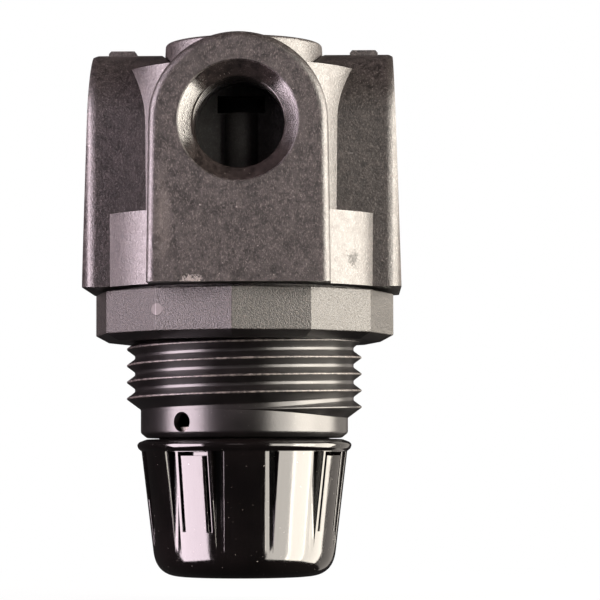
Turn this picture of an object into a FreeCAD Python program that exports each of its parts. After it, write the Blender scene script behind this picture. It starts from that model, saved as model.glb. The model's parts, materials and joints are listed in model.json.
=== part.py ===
import FreeCAD, Part
import Sketcher
import math
import os

# Low pressure regulator for compressed air or water, seen as it hangs: knob down, body up.
# Millimetres, +Z up along the knob's axis, the inlet port faces -Y.
# The origin is on the axis, in the plane where the ring of the bonnet seats on a panel.

DOCUMENT = FreeCAD.newDocument("regulator")
SHEET = DOCUMENT.addObject("Spreadsheet::Sheet", "sizes")


class Size:
    """A length or an angle: its value now, and the sheet formula that gives it."""

    def __init__(self, value, formula):
        self.value = value
        self.formula = formula

    def __add__(self, other):
        other = as_size(other)
        return Size(self.value + other.value, f"({self.formula} + {other.formula})")

    def __radd__(self, other):
        return as_size(other) + self

    def __sub__(self, other):
        other = as_size(other)
        return Size(self.value - other.value, f"({self.formula} - {other.formula})")

    def __rsub__(self, other):
        return as_size(other) - self

    def __mul__(self, other):
        other = as_size(other)
        return Size(self.value * other.value, f"({self.formula} * {other.formula})")

    def __rmul__(self, other):
        return as_size(other) * self

    def __truediv__(self, other):
        other = as_size(other)
        return Size(self.value / other.value, f"({self.formula} / {other.formula})")

    def __neg__(self):
        return Size(-self.value, f"(0 - {self.formula})")


def as_size(number):
    if isinstance(number, Size):
        return number
    return Size(number, f"({number})")


def cosine(angle):
    angle = as_size(angle)
    return Size(math.cos(math.radians(angle.value)), f"cos({angle.formula} * 1 deg)")


def sine(angle):
    angle = as_size(angle)
    return Size(math.sin(math.radians(angle.value)), f"sin({angle.formula} * 1 deg)")


def size(name, value, note):
    """Write one driving size into the sheet and return it."""
    row = size.rows = size.rows + 1
    SHEET.set(f"A{row}", name)
    SHEET.set(f"B{row}", str(value))
    SHEET.set(f"C{row}", note)
    SHEET.setAlias(f"B{row}", name)
    return Size(float(value), f"sizes.{name}")


size.rows = 0

# Body casting: outside
port_height = size("port_height", 26.4, "port axes above the panel seat")
body_bottom = size("body_bottom", 6.65, "underside of the casting")
collar_radius = size("collar_radius", 19.25, "collar round the diaphragm chamber")
collar_top = size("collar_top", 15.8, "top of the collar")
core_radius = size("core_radius", 15.5, "core above the collar")
core_top = size("core_top", 34.5, "top of the core")
front_boss_radius = size("front_boss_radius", 11.0, "arch of the inlet and outlet bosses")
front_reach = size("front_reach", 20.4, "port faces from the axis")
boss_draft = size("boss_draft", 0.8, "mould draft of the boss sides, degrees")
side_boss_radius = size("side_boss_radius", 9.7, "arch of the gauge port bosses")
side_arch_rise = size("side_arch_rise", 1.05, "centre of that arch above the port axes")
side_reach = size("side_reach", 20.1, "gauge port faces from the axis, at the bottom")
side_lean = size("side_lean", 0.9, "how much nearer to the axis these faces are at the top")
side_corner = size("side_corner", 0.7, "chamfer at the top of the gauge port faces")
front_round = size("front_round", 1.0, "round on the edges of the port faces")
side_round = size("side_round", 1.1, "round on the upright edges of the gauge port faces")
lug_place = size("lug_place", 15.5, "lugs on the gauge port bosses, from the axis")
lug_width = size("lug_width", 3.6, "lug across")
lug_length = size("lug_length", 5.0, "lug along the arch")
lug_rise = size("lug_rise", 0.35, "lug above the arch")
lug_bevel = size("lug_bevel", 0.3, "bevel at the ends of a lug")

# Body casting: inside
spigot_radius = size("spigot_radius", 16.0, "thread that joins bonnet and casting")
clamp_height = size("clamp_height", 12.0, "shoulder that clamps the diaphragm")
chamber_radius = size("chamber_radius", 13.6, "chamber above the diaphragm")
chamber_roof = size("chamber_roof", 14.6, "roof of that chamber")
under_seat_floor = size("under_seat_floor", 16.6, "floor of the space under the valve seat")
under_seat_radius = size("under_seat_radius", 4.4, "space under the valve seat")
seat_bottom = size("seat_bottom", 18.6, "underside of the valve seat")
seat_radius = size("seat_radius", 5.2, "valve seat outside")
seat_top = size("seat_top", 21.4, "top of the valve seat's flange")
seat_lip = size("seat_lip", 0.5, "lip of the seat above its flange")
seat_bore = size("seat_bore", 2.4, "orifice of the seat")
seat_lip_wall = size("seat_lip_wall", 0.7, "wall of the lip")
valve_bore = size("valve_bore", 6.2, "bore round the valve")
plug_bore_floor = size("plug_bore_floor", 26.0, "step where the bore widens for the plug")
plug_bore = size("plug_bore", 8.6, "threaded bore for the bottom plug")
port_thread_radius = size("port_thread_radius", 6.85, "quarter inch pipe thread, major radius")
port_thread_depth = size("port_thread_depth", 8.3, "depth of the thread")
port_drill_radius = size("port_drill_radius", 5.6, "drilled hole beyond the thread")
port_depth = size("port_depth", 10.5, "depth of the drilled hole")
port_mouth_radius = size("port_mouth_radius", 7.5, "countersink of the port")
port_mouth_depth = size("port_mouth_depth", 0.8, "depth of the countersink")
window_half = size("window_half", 3.0, "half width of the inlet window")
window_bottom = size("window_bottom", 28.5, "sill of the inlet window")
window_top = size("window_top", 30.7, "head of the inlet window")
rib_radius = size("rib_radius", 2.1, "half-round rib below the inlet window")
rib_top = size("rib_top", 28.3, "top of the rib")
duct_half = size("duct_half", 3.0, "half width of the outlet duct")
duct_near = size("duct_near", 7.6, "near wall of the rising outlet duct")
duct_far = size("duct_far", 11.4, "far wall of the rising outlet duct")
duct_top = size("duct_top", 25.0, "top of the rising outlet duct")
duct_floor = size("duct_floor", 16.8, "floor of the ducts")
gauge_duct_half = size("gauge_duct_half", 1.5, "half width of a gauge duct")
gauge_duct_near = size("gauge_duct_near", 9.8, "near wall of a gauge duct")
gauge_thread_radius = size("gauge_thread_radius", 5.14, "eighth inch pipe thread, major radius")
gauge_depth = size("gauge_depth", 7.6, "depth of a gauge port")
gauge_mouth_radius = size("gauge_mouth_radius", 5.8, "countersink of a gauge port")
gauge_mouth_depth = size("gauge_mouth_depth", 0.6, "depth of that countersink")

# Valve
stem_radius = size("stem_radius", 1.15, "valve stem")
stem_gap = size("stem_gap", 0.08, "running gap round the stems")
stem_end = size("stem_end", 12.45, "lower end of the stem, on the relief stud")
seal_height = size("seal_height", 0.6, "valve seal")
seal_radius = size("seal_radius", 4.2, "valve seal outside")
poppet_radius = size("poppet_radius", 4.5, "valve head")
poppet_height = size("poppet_height", 1.9, "valve head")
upper_stem_radius = size("upper_stem_radius", 1.9, "stem above the head")
upper_stem_top = size("upper_stem_top", 32.4, "top of that stem")
valve_wire = size("valve_wire", 0.3, "wire radius of the valve spring")
valve_coil = size("valve_coil", 3.4, "mean radius of the valve spring")
valve_turns = size("valve_turns", 5, "turns of the valve spring")
seat_gap = size("seat_gap", 0.05, "gap left between faces that meet")

# Bottom plug
plug_radius = size("plug_radius", 10.3, "plug head at its foot")
plug_clearance = size("plug_clearance", 0.3, "room round the head between the arches")
plug_taper = size("plug_taper", 0.2, "how much narrower the head is at its top")
plug_top = size("plug_top", 38.5, "top of the plug")
plug_spigot_bottom = size("plug_spigot_bottom", 31.0, "lower end of the plug's thread")
plug_cup_bottom = size("plug_cup_bottom", 27.2, "lower end of the spring cup")
plug_cup_radius = size("plug_cup_radius", 5.4, "spring cup outside")
plug_cup_bore = size("plug_cup_bore", 4.2, "spring cup inside")
plug_guide_top = size("plug_guide_top", 33.7, "end of the guide hole for the stem")
dish_radius = size("dish_radius", 7.6, "dish in the plug's top")
dish_depth = size("dish_depth", 2.4, "depth of the dish")
dish_bar = size("dish_bar", 2.6, "bar across the dish")
plug_edge = size("plug_edge", 0.4, "round on the plug's top edge")
thread_gap = size("thread_gap", 0.1, "gap between mating threads")
plug_ring_wire = size("plug_ring_wire", 0.6, "wire radius of the plug's O-ring")
stem_ring_wire = size("stem_ring_wire", 0.5, "wire radius of the stem's O-ring")
ring_squash = size("ring_squash", 0.05, "gap round an O-ring in its groove")

# Siphon tube
siphon_place = size("siphon_place", 9.5, "siphon tube from the axis")
siphon_radius = size("siphon_radius", 1.2, "siphon tube outside")
siphon_bore = size("siphon_bore", 0.75, "siphon tube inside")
siphon_bottom = size("siphon_bottom", 13.6, "lower end of the siphon tube")
siphon_top = size("siphon_top", 21.5, "upper end of the siphon tube")

# Diaphragm group
slip_height = size("slip_height", 0.8, "slip ring")
slip_bore = size("slip_bore", 12.2, "slip ring inside")
bead_width = size("bead_width", 1.3, "bead at the diaphragm's rim")
bead_height = size("bead_height", 1.6, "height of that bead")
web_height = size("web_height", 0.8, "web of the diaphragm")
plate_radius = size("plate_radius", 11.4, "plate under the diaphragm")
plate_height = size("plate_height", 1.5, "height of the plate")
plate_recess = size("plate_recess", 1.5, "recess for the plate in the bonnet's end")
plate_boss = size("plate_boss", 7.9, "boss that centres the main spring")
plate_boss_height = size("plate_boss_height", 1.2, "height of that boss")
stud_radius = size("stud_radius", 2.5, "relief stud through the diaphragm")
stud_head = size("stud_head", 4.2, "head of the relief stud")
stud_head_height = size("stud_head_height", 1.15, "height of that head")
relief_bore = size("relief_bore", 0.8, "relief hole through the stud")

# Bonnet
ring_radius = size("ring_radius", 19.2, "corners of the twelve-sided ring")
ring_height = size("ring_height", 6.25, "height of the ring")
ring_phase = size("ring_phase", -2.5, "turn of the ring's corners, degrees")
ring_foot = size("ring_foot", 16.9, "foot of the ring's lower chamfer")
ring_chamfer_rise = size("ring_chamfer_rise", 1.25, "height of that chamfer at the corners")
thread_radius = size("thread_radius", 15.08, "panel thread, major radius")
thread_root = size("thread_root", 13.9, "panel thread, root radius")
thread_length = size("thread_length", 8.8, "panel thread")
thread_lead_in = size("thread_lead_in", 0.6, "bevel at the thread's start")
barrel_radius = size("barrel_radius", 13.3, "plain barrel below the thread")
barrel_bottom = size("barrel_bottom", 12.0, "end of the barrel below the seat plane")
barrel_bevel = size("barrel_bevel", 0.65, "bevel at the end of the barrel")
bonnet_bore = size("bonnet_bore", 10.8, "bore for the main spring")
floor_top = size("floor_top", 12.4, "bonnet floor below the seat plane")
floor_height = size("floor_height", 2.5, "thickness of the bonnet floor")
neck_radius = size("neck_radius", 10.9, "neck that carries the knob")
neck_bore = size("neck_bore", 8.6, "inside of the neck")
neck_length = size("neck_length", 7.3, "neck below the barrel")
neck_groove = size("neck_groove", 0.65, "depth of the groove for the knob's hooks")
neck_groove_start = size("neck_groove_start", 2.4, "groove below the barrel")
neck_groove_length = size("neck_groove_length", 4.25, "height of the groove")
vent_radius = size("vent_radius", 1.22, "vent hole")
vent_turn = size("vent_turn", -36.6, "vent hole from the front, degrees")
vent_drop = size("vent_drop", 10.05, "vent hole below the seat plane")
key_width = size("key_width", 2.8, "keys of the spring nut")
key_reach = size("key_reach", 11.6, "keys of the spring nut from the axis")
key_gap = size("key_gap", 0.2, "gap round the keys")

# Screw, nut, washer and spring
journal_radius = size("journal_radius", 4.5, "screw where it runs in the floor")
journal_gap = size("journal_gap", 0.08, "running gap round the journal")
washer_height = size("washer_height", 1.5, "thrust washer")
washer_radius = size("washer_radius", 10.4, "thrust washer outside")
flange_radius = size("flange_radius", 7.0, "flange of the screw")
flange_height = size("flange_height", 1.6, "height of that flange")
screw_radius = size("screw_radius", 5.0, "left-hand adjusting thread, major radius")
screw_top = size("screw_top", 4.2, "top of the screw")
hex_radius = size("hex_radius", 3.5, "corners of the screw's hexagon")
hex_length = size("hex_length", 9.0, "length of that hexagon")
clip_radius = size("clip_radius", 6.4, "retaining ring outside")
clip_height = size("clip_height", 0.8, "retaining ring")
clip_groove = size("clip_groove", 0.6, "depth of its groove")
clip_opening = size("clip_opening", 2.6, "opening of the retaining ring")
nut_bottom = size("nut_bottom", 9.0, "spring nut below the seat plane, backed off")
nut_flange = size("nut_flange", 10.5, "spring nut outside")
nut_flange_height = size("nut_flange_height", 2.4, "flange of the spring nut")
nut_boss = size("nut_boss", 7.5, "boss that centres the spring")
nut_boss_height = size("nut_boss_height", 3.4, "height of that boss")
spring_wire = size("spring_wire", 0.8, "wire radius of the main spring")
spring_coil = size("spring_coil", 9.0, "mean radius of the main spring")
spring_turns = size("spring_turns", 5, "turns of the main spring")
wire_sides = 8

# Knob
knob_gap = size("knob_gap", 0.15, "gap between the knob's rim and the barrel")
knob_length = size("knob_length", 17.75, "height of the knob")
rim_radius = size("rim_radius", 13.8, "bead round the knob's rim")
rim_height = size("rim_height", 1.6, "height of that bead")
rim_round = size("rim_round", 0.55, "round on top of the bead")
rim_step = size("rim_step", 0.5, "bevel under the bead")
knob_top_radius = size("knob_top_radius", 13.2, "cone of the knob under the bead")
knob_bottom_radius = size("knob_bottom_radius", 11.3, "cone of the knob at its end, unrounded")
knob_round = size("knob_round", 2.8, "round at the knob's end")
knob_bore = size("knob_bore", 11.25, "inside of the knob")
knob_bore_depth = size("knob_bore_depth", 8.8, "straight part of that bore")
knob_inner_end = size("knob_inner_end", 9.4, "inside of the knob at its floor")
knob_floor = size("knob_floor", 2.4, "floor of the knob")
flute_count = size("flute_count", 12, "flutes round the knob")
flute_floor = size("flute_floor", 11.8, "bottom of a flute from the axis")
flute_half = size("flute_half", 1.0, "half width of a flute under the bead")
flute_turn = size("flute_turn", 15.0, "first flute from the front, degrees")
finger_turn = size("finger_turn", -30.0, "first snap finger from the front, degrees")
finger_half = size("finger_half", 1.55, "half width of a snap finger")
finger_slot = size("finger_slot", 0.3, "slots beside a finger")
finger_top_slot = size("finger_top_slot", 0.45, "slot above a finger")
finger_start = size("finger_start", 2.05, "slot above a finger, below the rim")
finger_length = size("finger_length", 9.8, "slots beside a finger")
hook_depth = size("hook_depth", 0.75, "hook inside a finger")
hook_height = size("hook_height", 1.0, "height of a hook")
hook_drop = size("hook_drop", 0.3, "hook below the end of its finger")
hook_angle = size("hook_angle", 14.0, "hook along the circle, degrees")
hub_radius = size("hub_radius", 5.8, "hub of the knob")
hub_drop = size("hub_drop", 4.4, "top of the hub below the rim")
hub_socket_depth = size("hub_socket_depth", 9.4, "hexagonal socket in the hub")
socket_gap = size("socket_gap", 0.15, "gap round the hexagon")

# Gauge port plugs
gauge_plug_length = size("gauge_plug_length", 6.6, "gauge port plug")
gauge_plug_sink = size("gauge_plug_sink", 0.5, "plug below the mouth of its port")
gauge_plug_hex = size("gauge_plug_hex", 2.75, "corners of its hexagonal socket")
gauge_plug_socket = size("gauge_plug_socket", 3.6, "depth of that socket")

DOCUMENT.recompute()

SUB_PARTS = []


def new_body(node):
    body = DOCUMENT.addObject("PartDesign::Body", node)
    body.Label = node
    body.Placement = FreeCAD.Placement()
    SUB_PARTS.append(body)
    return body


def origin_item(body, role):
    return next(item for item in body.Origin.OriginFeatures if item.Role == role)


def new_sketch(body, name, plane, offset=None, turn=None, turn_axis=(0, 1, 0)):
    """A sketch on an origin plane, moved along its normal by offset or turned by an angle."""
    sketch = body.newObject("Sketcher::SketchObject", f"{body.Name}_{name}")
    sketch.AttachmentSupport = [(origin_item(body, plane), "")]
    sketch.MapMode = "FlatFace"
    base = FreeCAD.Vector(0, 0, offset.value if offset else 0)
    angle = turn.value if turn else 0
    axis = FreeCAD.Vector(*turn_axis)
    sketch.AttachmentOffset = FreeCAD.Placement(base, FreeCAD.Rotation(axis, angle))
    if offset:
        sketch.setExpression("AttachmentOffset.Base.z", offset.formula)
    if turn:
        sketch.setExpression("AttachmentOffset.Rotation.Angle", turn.formula)
    return sketch


def constrain(sketch, kind, geometry, point, distance):
    """Hold one point of the sketch at a signed distance from the sketch's origin."""
    distance = as_size(distance)
    row = sketch.addConstraint(Sketcher.Constraint(kind, -1, 1, geometry, point, distance.value))
    if "sizes." in distance.formula:
        sketch.setExpression(f"Constraints[{row}]", distance.formula)


def draw_outline(sketch, points):
    """A closed outline through points, each (x, y), with straight sides.

    A point (x, y, (centre_x, centre_y)) starts an arc that runs counter-clockwise to the next point.
    """
    count = len(points)
    vectors = [FreeCAD.Vector(as_size(p[0]).value, as_size(p[1]).value, 0) for p in points]
    for i in range(count):
        start = vectors[i]
        end = vectors[(i + 1) % count]
        if len(points[i]) == 3:
            centre = FreeCAD.Vector(as_size(points[i][2][0]).value, as_size(points[i][2][1]).value, 0)
            circle = Part.Circle(centre, FreeCAD.Vector(0, 0, 1), (start - centre).Length)
            first = math.atan2(start.y - centre.y, start.x - centre.x)
            last = math.atan2(end.y - centre.y, end.x - centre.x)
            if last < first:
                last += 2 * math.pi
            sketch.addGeometry(Part.ArcOfCircle(circle, first, last), False)
        else:
            sketch.addGeometry(Part.LineSegment(start, end), False)
    for i in range(count):
        sketch.addConstraint(Sketcher.Constraint("Coincident", i, 2, (i + 1) % count, 1))
    for i in range(count):
        ends_arc = len(points[i - 1]) == 3
        ends_on_top = False
        if ends_arc:
            centre_x = as_size(points[i - 1][2][0]).value
            centre_y = as_size(points[i - 1][2][1]).value
            ends_on_top = abs(vectors[i].y - centre_y) > abs(vectors[i].x - centre_x)
        if not ends_arc or ends_on_top:
            constrain(sketch, "DistanceX", i, 1, points[i][0])
        if not ends_on_top:
            constrain(sketch, "DistanceY", i, 1, points[i][1])
        if len(points[i]) == 3:
            constrain(sketch, "DistanceX", i, 3, points[i][2][0])
            constrain(sketch, "DistanceY", i, 3, points[i][2][1])


def draw_circle(sketch, x, y, radius):
    x, y, radius = as_size(x), as_size(y), as_size(radius)
    centre = FreeCAD.Vector(x.value, y.value, 0)
    row = sketch.addGeometry(Part.Circle(centre, FreeCAD.Vector(0, 0, 1), radius.value), False)
    constrain(sketch, "DistanceX", row, 3, x)
    constrain(sketch, "DistanceY", row, 3, y)
    limit = sketch.addConstraint(Sketcher.Constraint("Radius", row, radius.value))
    sketch.setExpression(f"Constraints[{limit}]", radius.formula)


def draw_polygon(sketch, corners, radius, turn=0):
    """A regular polygon round the sketch's origin with a corner at the angle turn."""
    points = []
    for i in range(corners):
        angle = as_size(turn) + 360 / corners * i
        points.append((radius * cosine(angle), radius * sine(angle)))
    draw_outline(sketch, points)


def level_axis(sketch, height, reach):
    """A construction line along the sketch's x at a height, as the axis of a cross bore."""
    start = FreeCAD.Vector(0, height.value, 0)
    end = FreeCAD.Vector(reach.value, height.value, 0)
    row = sketch.addGeometry(Part.LineSegment(start, end), True)
    constrain(sketch, "DistanceX", row, 1, 0)
    constrain(sketch, "DistanceY", row, 1, height)
    constrain(sketch, "DistanceX", row, 2, reach)
    constrain(sketch, "DistanceY", row, 2, height)


def feature(body, kind, name, sketch):
    item = body.newObject(f"PartDesign::{kind}", f"{body.Name}_{name}")
    item.Profile = (sketch, [""])
    sketch.Visibility = False
    return item


def revolve(body, kind, name, points, plane="XZ_Plane", turn=None, angle=None, axis_height=None):
    """Revolution or Groove of an outline (radius, height) about the main axis or a cross axis."""
    sketch = new_sketch(body, f"{name}_outline", plane, turn=turn)
    draw_outline(sketch, points)
    axis = "V_Axis"
    if axis_height is not None:
        level_axis(sketch, axis_height, front_reach)
        axis = "Axis0"
    item = feature(body, kind, name, sketch)
    item.ReferenceAxis = (sketch, [axis])
    item.Angle = 360
    if angle is not None:
        item.Midplane = True
        item.Angle = angle.value
        item.setExpression("Angle", angle.formula)
    DOCUMENT.recompute()
    return item


def pad(body, name, sketch, length, symmetric=False, reversed_way=False, kind="Pad"):
    """Pad or Pocket of a sketch; a symmetric one reaches length in all, half to each side."""
    item = feature(body, kind, name, sketch)
    item.Type = "Length"
    item.SideType = "Symmetric" if symmetric else "One side"
    item.Length = length.value
    item.setExpression("Length", length.formula)
    item.Reversed = reversed_way
    DOCUMENT.recompute()
    return item


def pocket(body, name, sketch, length, symmetric=False, reversed_way=False):
    before = body.Shape.Volume
    item = pad(body, name, sketch, length, symmetric, reversed_way, kind="Pocket")
    if body.Shape.Volume >= before:
        raise RuntimeError(f"{item.Name} cuts nothing")
    return item


def around(body, name, originals, occurrences):
    """Repeat features evenly round the main axis."""
    pattern = body.newObject("PartDesign::PolarPattern", f"{body.Name}_{name}")
    pattern.Originals = originals
    pattern.Axis = (origin_item(body, "Z_Axis"), [""])
    pattern.Angle = 360
    occurrences = as_size(occurrences)
    pattern.Occurrences = int(occurrences.value)
    if "sizes." in occurrences.formula:
        pattern.setExpression("Occurrences", occurrences.formula)
    body.Tip = pattern
    DOCUMENT.recompute()
    return pattern


def edges_where(shape, test):
    return [f"Edge{i + 1}" for i, edge in enumerate(shape.Edges) if test(edge)]


def soften(body, kind, name, test, amount):
    """Fillet or Chamfer on the edges that a test picks."""
    base = body.Tip
    item = body.newObject(f"PartDesign::{kind}", f"{body.Name}_{name}")
    item.Base = (base, edges_where(base.Shape, test))
    prop = "Radius" if kind == "Fillet" else "Size"
    setattr(item, prop, amount.value)
    item.setExpression(prop, amount.formula)
    DOCUMENT.recompute()
    return item


def turned(node, points):
    body = new_body(node)
    revolve(body, "Revolution", "turned", points)
    return body


def torus(node, mean_radius, height, wire):
    """A ring of round section about the main axis."""
    body = new_body(node)
    sketch = new_sketch(body, "section", "XZ_Plane")
    draw_circle(sketch, mean_radius, height, wire)
    item = feature(body, "Revolution", "ring", sketch)
    item.ReferenceAxis = (sketch, ["V_Axis"])
    item.Angle = 360
    DOCUMENT.recompute()
    return body


def coil_spring(node, mean_radius, wire, bottom, top, turns):
    """A helix that stands between two heights; the round wire has an eight-sided section."""
    body = new_body(node)
    sketch = new_sketch(body, "section", "XZ_Plane")
    points = []
    for i in range(wire_sides):
        angle = 360 / wire_sides * i
        points.append((mean_radius + wire * cosine(angle), bottom + wire + wire * sine(angle)))
    draw_outline(sketch, points)
    item = body.newObject("PartDesign::AdditiveHelix", f"{node}_helix")
    item.Profile = (sketch, [""])
    item.ReferenceAxis = (sketch, ["V_Axis"])
    item.Mode = "height-turns-growth"
    rise = top - bottom - wire * 2
    item.Height = rise.value
    item.setExpression("Height", rise.formula)
    item.Turns = turns.value
    item.setExpression("Turns", turns.formula)
    DOCUMENT.recompute()
    return body


def arch_outline(radius, centre_height, bottom, draft):
    """Arch of a port boss: an arc about the port's axis with sides that spread downwards."""
    foot = radius / cosine(draft) + (centre_height - bottom) * sine(draft) / cosine(draft)
    shoulder_x = radius * cosine(draft)
    shoulder_y = centre_height + radius * sine(draft)
    return [
        (-foot, bottom),
        (foot, bottom),
        (shoulder_x, shoulder_y, (0, centre_height)),
        (-shoulder_x, shoulder_y),
    ]


def make_body_casting():
    body = new_body("body_casting")
    revolve(body, "Revolution", "core", [
        (0, body_bottom),
        (collar_radius, body_bottom),
        (collar_radius, collar_top),
        (core_radius, collar_top),
        (core_radius, core_top),
        (0, core_top),
    ])
    sketch = new_sketch(body, "port_bosses_outline", "XZ_Plane")
    draw_outline(sketch, arch_outline(front_boss_radius, port_height, body_bottom, boss_draft))
    pad(body, "port_bosses", sketch, front_reach * 2, symmetric=True)
    soften(body, "Fillet", "port_edges", lambda edge: on_port_face(edge), front_round)

    sketch = new_sketch(body, "gauge_bosses_outline", "YZ_Plane")
    centre = port_height + side_arch_rise
    draw_outline(sketch, arch_outline(side_boss_radius, centre, body_bottom, boss_draft))
    pad(body, "gauge_bosses", sketch, side_reach * 2, symmetric=True)
    soften(body, "Fillet", "gauge_edges", lambda edge: is_upright_side_edge(edge), side_round)
    lean_gauge_faces(body)
    add_lugs(body)
    bore_casting(body)
    return body


def on_port_face(edge):
    box = edge.BoundBox
    flat = abs(abs(box.YMin) - front_reach.value) < 1e-3 and box.YLength < 1e-3
    return flat and box.ZMax > body_bottom.value + 1e-3


def is_upright_side_edge(edge):
    box = edge.BoundBox
    flat = abs(abs(box.XMin) - side_reach.value) < 1e-3 and box.XLength < 1e-3
    return flat and box.ZLength > 1 and len(edge.Vertexes) == 2 and box.YLength < 1


def lean_gauge_faces(body):
    """Cut the mould draft and the top chamfer of the two gauge port faces."""
    top = port_height + side_arch_rise + side_boss_radius
    inner = side_reach - side_lean
    for name, side in (("lean_right", 1), ("lean_left", -1)):
        sketch = new_sketch(body, f"{name}_outline", "XZ_Plane")
        outside = (side_reach + core_radius) * side
        points = [
            (side_reach * side, body_bottom),
            (outside, body_bottom),
            (outside, top + 1),
            ((inner - side_corner - 1) * side, top + 1),
            ((inner - side_corner) * side, top),
            (inner * side, top - side_corner),
        ]
        draw_outline(sketch, points if side > 0 else points[::-1])
        pocket(body, name, sketch, side_boss_radius * 4, symmetric=True)


def add_lugs(body):
    """A low lug on top of each gauge port boss, with bevelled ends."""
    top = port_height + side_arch_rise + side_boss_radius
    for name, side in (("lug_right", 1), ("lug_left", -1)):
        sketch = new_sketch(body, f"{name}_outline", "XZ_Plane")
        near = (lug_place - lug_width / 2) * side
        far = (lug_place + lug_width / 2) * side
        points = [
            (near, top - 1),
            (far, top - 1),
            (far, top),
            (far - lug_bevel * side, top + lug_rise),
            (near + lug_bevel * side, top + lug_rise),
            (near, top),
        ]
        draw_outline(sketch, points if side > 0 else points[::-1])
        pad(body, name, sketch, lug_length, symmetric=True)


def bore_casting(body):
    """The diaphragm chamber, the valve bore, the four ports and the ducts between them."""
    revolve(body, "Groove", "lower_bores", [
        (0, body_bottom),
        (spigot_radius, body_bottom),
        (spigot_radius, clamp_height),
        (chamber_radius, clamp_height),
        (chamber_radius, chamber_roof),
        (stem_radius + stem_gap, chamber_roof),
        (stem_radius + stem_gap, under_seat_floor),
        (under_seat_radius, under_seat_floor),
        (under_seat_radius, seat_bottom),
        (0, seat_bottom),
    ])
    revolve(body, "Groove", "upper_bores", [
        (0, seat_bottom),
        (seat_radius, seat_bottom),
        (seat_radius, seat_top),
        (valve_bore, seat_top),
        (valve_bore, plug_bore_floor),
        (plug_bore, plug_bore_floor),
        (plug_bore, core_top - plug_ring_wire * 2),
        (plug_bore + plug_ring_wire * 2, core_top - plug_ring_wire * 2),
        (plug_bore + plug_ring_wire * 2, core_top),
        (plug_radius + plug_clearance, core_top),
        (plug_radius + plug_clearance, plug_top),
        (0, plug_top),
    ])
    for name, side in (("inlet_port", -1), ("outlet_port", 1)):
        cross_bore(body, name, "YZ_Plane", side, front_reach, port_mouth_radius, port_mouth_depth,
                   port_thread_radius, port_thread_depth, port_drill_radius, port_depth)
    face = side_reach - side_lean / 2
    for name, side in (("left_gauge_port", -1), ("right_gauge_port", 1)):
        cross_bore(body, name, "XZ_Plane", side, face, gauge_mouth_radius, gauge_mouth_depth,
                   gauge_thread_radius, gauge_depth, gauge_duct_half, gauge_depth + 0.5)

    sketch = new_sketch(body, "inlet_window_outline", "XZ_Plane")
    draw_outline(sketch, rectangle(-window_half, window_bottom, window_half, window_top))
    pocket(body, "inlet_window", sketch, front_reach - port_depth + 0.5, reversed_way=True)

    sketch = new_sketch(body, "outlet_duct_outline", "YZ_Plane")
    draw_outline(sketch, duct_outline(duct_near, duct_far, duct_top, 1))
    pocket(body, "outlet_duct", sketch, duct_half * 2, symmetric=True)
    for name, side in (("left_gauge_duct", -1), ("right_gauge_duct", 1)):
        sketch = new_sketch(body, f"{name}_outline", "XZ_Plane")
        far = side_reach - side_lean / 2 - gauge_depth + 0.3
        draw_outline(sketch, duct_outline(gauge_duct_near, far, port_height, side))
        pocket(body, name, sketch, gauge_duct_half * 2, symmetric=True)

    sketch = new_sketch(body, "siphon_hole_outline", "XY_Plane", offset=chamber_roof - 0.5)
    draw_circle(sketch, 0, siphon_place, siphon_radius)
    pocket(body, "siphon_hole", sketch, duct_floor - chamber_roof + 1, reversed_way=True)

    sketch = new_sketch(body, "inlet_rib_outline", "XY_Plane",
                        offset=port_height - port_thread_radius - 0.5)
    draw_circle(sketch, 0, port_depth - front_reach, rib_radius)
    pad(body, "inlet_rib", sketch, rib_top - port_height + port_thread_radius + 0.5)
    revolve(body, "Groove", "valve_bore_clean", [
        (0, plug_bore_floor),
        (plug_bore, plug_bore_floor),
        (plug_bore, rib_top + 0.1),
        (0, rib_top + 0.1),
    ])


def rectangle(left, bottom, right, top):
    return [(left, bottom), (right, bottom), (right, top), (left, top)]


def duct_outline(near, far, top, side):
    """An L that leaves the space under the valve seat and rises to a port."""
    start = under_seat_radius - 0.8
    points = [
        (start * side, duct_floor),
        (far * side, duct_floor),
        (far * side, top),
        (near * side, top),
        (near * side, seat_bottom),
        (start * side, seat_bottom),
    ]
    return points if side > 0 else points[::-1]


def cross_bore(body, name, plane, side, face, mouth, mouth_depth, thread, thread_depth, drill, depth):
    """A countersunk stepped bore from a boss face towards the main axis."""
    mouth_face = face + 1
    slope = (mouth - thread) / mouth_depth
    revolve(body, "Groove", name, [
        ((face - depth) * side, port_height),
        (mouth_face * side, port_height),
        (mouth_face * side, port_height + mouth + slope),
        ((face - mouth_depth) * side, port_height + thread),
        ((face - thread_depth) * side, port_height + thread),
        ((face - thread_depth) * side, port_height + drill),
        ((face - depth) * side, port_height + drill),
    ], plane=plane, axis_height=port_height)


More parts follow.
